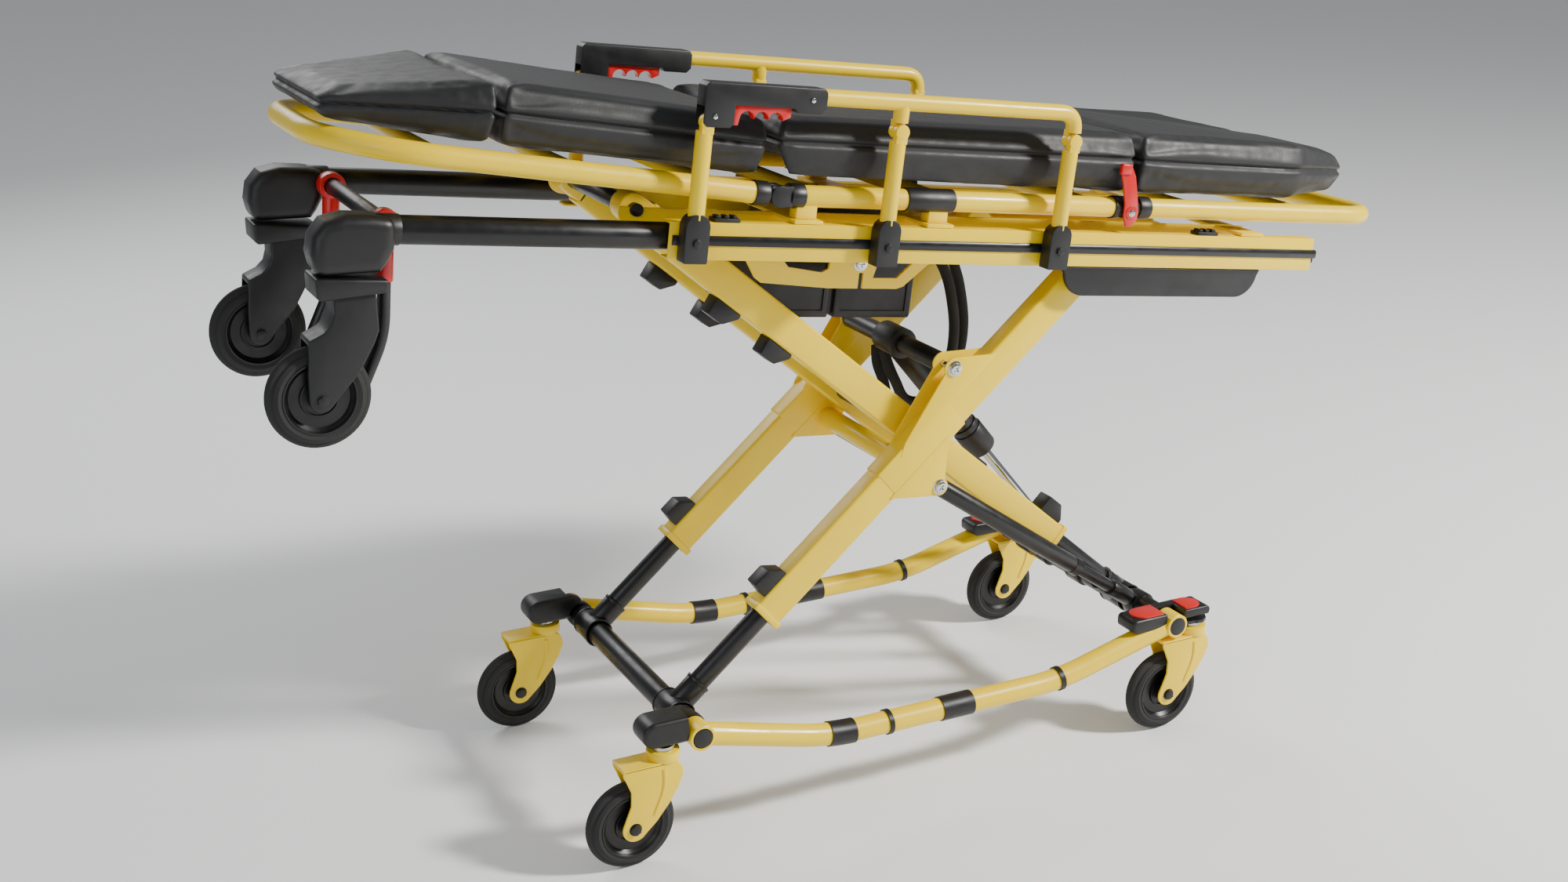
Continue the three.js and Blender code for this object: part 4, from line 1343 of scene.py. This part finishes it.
# ---- Head section ----
@dataclass
class HeadSection:
    """The sliding head section with its load legs, load wheels and safety bar."""

    bolts: Fasteners
    wheels: Wheels

    def knuckle(self, s: int) -> list[Piece]:
        """A large rounded corner housing over its collar plate."""
        outline = [
            (-955, -30),
            (-953, -4),
            (-938, 18),
            (-908, 27),
            (-868, 27),
            (-838, 24),
            (-838, -18),
            (-848, -40),
            (-856, -52),
            (-946, -60),
        ]
        body = slab(PLASTIC, outline, s * 168, s * 232, 0)
        apply(
            body,
            "BEVEL",
            width=18,
            segments=5,
            limit_method="ANGLE",
            angle_limit=math.radians(60),
            profile=0.6,
        )
        sleeve = rod(PLASTIC, (-862, s * 200, 5), (-828, s * 200, 5), 22.6, 1.5)
        return [body, sleeve]

    def main_frame(self) -> None:
        """Two black tubes, their corner housings and the cross tube."""
        parts = [disc(COAT, -834, 5, 13, -190, 190)]
        for s in (-1, 1):
            parts += [rod(COAT, (-860, s * 200, 5), (-280, s * 200, 5), 21), *self.knuckle(s)]
            parts.append(rod(PLASTIC, (-284, s * 200, 5), (-279, s * 200, 5), 18, 1.5))
        publish("head_section_frame", parts, LITTER)

    def load_leg(self, side: Side) -> None:
        """A cranked black leg that forks over its wheel."""
        hub = pivot(f"load_wheel_spin_{side.word}")
        outline = [
            (27, 158),
            (27, 124),
            (22, 108),
            (10, 97),
            (-12, 88),
            (-17, 40),
            (-18, 8),
            *arc(0, 0, 18, 180, 318, 14),
            (56, 34),
            (80, 74),
            (88, 92),
            (87, 158),
        ]
        body = slab(PLASTIC, outline, -27, 27, 3.2, 3)
        room = disc(PLASTIC, 0, 0, 83, -21.6, 21.6, 0, 64)
        under = block(PLASTIC, (-40, -21.6, -40), (60, 21.6, 40), 0)
        crown = [(2, 150), (6, 144), (98, 146), (104, 152), (104, 165), (2, 177)]
        parts = [cut(body, room, under), slab(PLASTIC, crown, -35, 35, 4, 3)]
        for sign in (-1, 1):
            parts.append(self.bolts.hex(PLASTIC, 0, sign * 26.6, 0, sign, 0.8))
            parts.append(disc(PLASTIC, 0, 0, 11, sign * 19, sign * 22.5))
        publish(f"load_leg_{side.word}", parts, Station(hub, Vector((1, 0, 0))))
        self.wheels.build(f"load_wheel_{side.word}", hub)

    def safety_bar(self) -> None:
        """The black hoop that hangs from red sleeves on the cross tube."""
        y = 152
        corners = [
            (-3, -y, -40),
            (-14, -y, -165),
            (-76, -y, -290),
            (-76, y, -290),
            (-14, y, -165),
            (-3, y, -40),
        ]
        parts = [tube(COAT, bent(corners, 30, 10), 10, 7)]
        for s in (-1, 1):
            ring = disc(RED, 0, 0, 21, s * 139, s * 164, 2)
            parts.append(cut(ring, disc(RED, 0, 0, 14, s * 130, s * 170, 0)))
            parts.append(rod(RED, (-1.6, s * y, -18), (-7, s * y, -84), 13.4, 1.2))
        publish("safety_bar", parts, HOOP)

    def build(self) -> None:
        """Makes the head section."""
        self.main_frame()
        for side in Side:
            self.load_leg(side)
        self.safety_bar()


# ---- Side rails ----
@dataclass
class SideRails:
    """Posts, rails, handles and latches on both sides."""

    bolts: Fasteners
    y: float = 247.5
    radius: float = 13.0
    rail_w: float = 230.0
    top_w: float = 185.0
    places: tuple[float, float, float] = (-393.0, -62.0, 266.0)

    def post(self, name: str, u: float, side: Side) -> None:
        """A yellow post in its black block."""
        s = side.value
        outline = [(u - 20, -24), (u - 18, -26), (u + 18, -26), (u + 20, -24), *arc(u, 29, 20, 0, 180, 18)]
        top = self.top_w
        tongue = disc(YELLOW, u, top, 12, s * (self.y + 0.3), s * (self.y + 13), 1)
        low, high = sorted((s * (self.y + 0.3), s * (self.y + 13)))
        parts = [
            slab(PLASTIC, outline, s * 234.6, s * 260.4, 2.6, 3),
            rod(YELLOW, (u, s * self.y, 39), (u, s * self.y, top - 14), self.radius),
            tongue,
            block(YELLOW, (u - 10, low + 0.6, top - 18), (u + 10, high - 0.6, top), 1),
            self.bolts.hex(PLASTIC, u, s * 259.8, 5, s, 0.72),
        ]
        publish(f"siderail_post_{name}_{side.word}", parts, LITTER)

    def rail(self, side: Side) -> None:
        """The yellow rail with its foot bend and its two stubs."""
        s = side.value
        y = s * self.y
        _, middle, foot = self.places
        corners = [(-200.4, y, self.rail_w), (foot, y, self.rail_w), (foot, y, self.top_w + 14)]
        parts = [
            tube(YELLOW, bent(corners, 30, 12), self.radius, 8),
            rod(YELLOW, (middle, y, self.top_w + 14), (middle, y, self.rail_w), 12.4),
        ]
        low, high = sorted((s * (self.y - 13), s * (self.y - 0.3)))
        for u in (middle, foot):
            parts.append(disc(YELLOW, u, self.top_w, 12, low, high, 1))
            parts.append(
                block(YELLOW, (u - 10, low + 0.6, self.top_w), (u + 10, high - 0.6, self.top_w + 18), 1)
            )
        publish(f"siderail_rail_{side.word}", parts, LITTER)

    def handle(self, side: Side) -> None:
        """The black grip housing with its notch and screws."""
        s = side.value
        outline = [
            (-403, 184),
            (-397, 178),
            (-359, 178),
            (-353, 184),
            (-353, 212),
            (-255, 212),
            (-250, 206),
            (-209, 206),
            (-201, 214),
            (-201, 238),
            (-207, 244),
            (-397, 244),
            (-403, 238),
        ]
        shell = slab(PLASTIC, outline, s * 232.2, s * 262.2, 1.8, 3)
        post_room = block(PLASTIC, (-420, s * 234, 165), (-360, s * 261, 208), 0)
        trigger_room = block(PLASTIC, (-352, s * 237, 200), (-256, s * 258, 222), 0)
        parts = [cut(shell, post_room, trigger_room)]
        for u, w in ((-385, 194), (-226, 226)):
            parts.append(self.bolts.hex(STEEL, u, s * 261.6, w, s, 0.42))
        publish(f"siderail_handle_{side.word}", parts, LITTER)

    def latch(self, side: Side) -> None:
        """The red trigger with finger scallops."""
        s = side.value
        scallops = [point for u in (-330, -306, -282) for point in arc(u, 192, 12, 180, 0, 8)]
        outline = [(-351, 214), (-351, 182), (-344, 182), *scallops, (-257, 198), (-257, 214)]
        publish(f"siderail_latch_{side.word}", [slab(RED, outline, s * 239, s * 256, 1.2, 2)], LITTER)

    def build(self) -> None:
        """Makes both side rails."""
        for side in Side:
            for name, u in zip(("head", "middle", "foot"), self.places, strict=True):
                self.post(name, u, side)
            self.rail(side)
            self.handle(side)
            self.latch(side)


# ---- Studio ----
@dataclass
class Studio:
    """A pale floor, soft lights and the camera."""

    eye: tuple[float, float, float] = (-1518.85, -2764.47, 1643.0)
    heading: float = 26.967
    dip: float = 18.971
    lens: float = 43.37

    def camera(self) -> None:
        """Places the camera at the viewing angle."""
        heading, dip = math.radians(self.heading), math.radians(self.dip)
        way = Vector((math.sin(heading) * math.cos(dip), math.cos(heading) * math.cos(dip), -math.sin(dip)))
        bpy.ops.object.camera_add(
            location=FLOOR.at(*self.eye), rotation=way.to_track_quat("-Z", "Y").to_euler()
        )
        camera = bpy.context.object
        camera.name = "viewpoint"
        camera.data.lens = self.lens
        camera.data.sensor_width = 36.0
        camera.data.clip_end = 100.0
        bpy.context.scene.camera = camera

    def light(self, name: str, place: Point, size: float, power: float, colour: Point = (1, 1, 1)) -> None:
        """A square soft light that points at the cot's middle."""
        way = Vector((0, 0, 0.6)) - Vector(place)
        bpy.ops.object.light_add(
            type="AREA", location=place, rotation=way.to_track_quat("-Z", "Y").to_euler()
        )
        lamp = bpy.context.object
        lamp.name = name
        lamp.data.size = size
        lamp.data.energy = power
        lamp.data.color = colour

    def floor(self) -> None:
        """A large pale floor."""
        deselect()
        bpy.ops.mesh.primitive_plane_add(size=60)
        floor = bpy.context.object
        floor.name = "studio_floor"
        paint = bpy.data.materials.new("pale_floor")
        paint.use_nodes = True
        shader = paint.node_tree.nodes["Principled BSDF"]
        shader.inputs["Base Color"].default_value = (0.95, 0.96, 0.97, 1)
        shader.inputs["Roughness"].default_value = 0.7
        floor.data.materials.append(paint)

    def build(self) -> None:
        """Sets the studio up."""
        self.floor()
        self.camera()
        world = bpy.data.worlds.new("studio_air")
        world.use_nodes = True
        world.node_tree.nodes["Background"].inputs["Color"].default_value = (0.95, 0.97, 1.0, 1)
        world.node_tree.nodes["Background"].inputs["Strength"].default_value = 0.3
        bpy.context.scene.world = world
        self.light("key", (4.2, -3.2, 4.2), 0.7, 620, (1.0, 0.98, 0.94))
        self.light("fill", (-4.0, -3.0, 2.4), 3.0, 45, (0.93, 0.96, 1.0))
        self.light("rim", (-1.0, 4.0, 3.4), 2.4, 90)


def main() -> None:
    """Builds the cot and its studio."""
    logging.basicConfig(level=logging.INFO, format="%(name)s: %(message)s")
    Studio().build()
    bolts = Fasteners()
    wheels = Wheels()
    Base(bolts, wheels).build()
    Undercarriage(bolts).build()
    Litter(bolts).build()
    HeadSection(bolts, wheels).build()
    SideRails(bolts).build()
    bolts.put_away()
    Mattress().build()


if __name__ == "__main__":
    main()
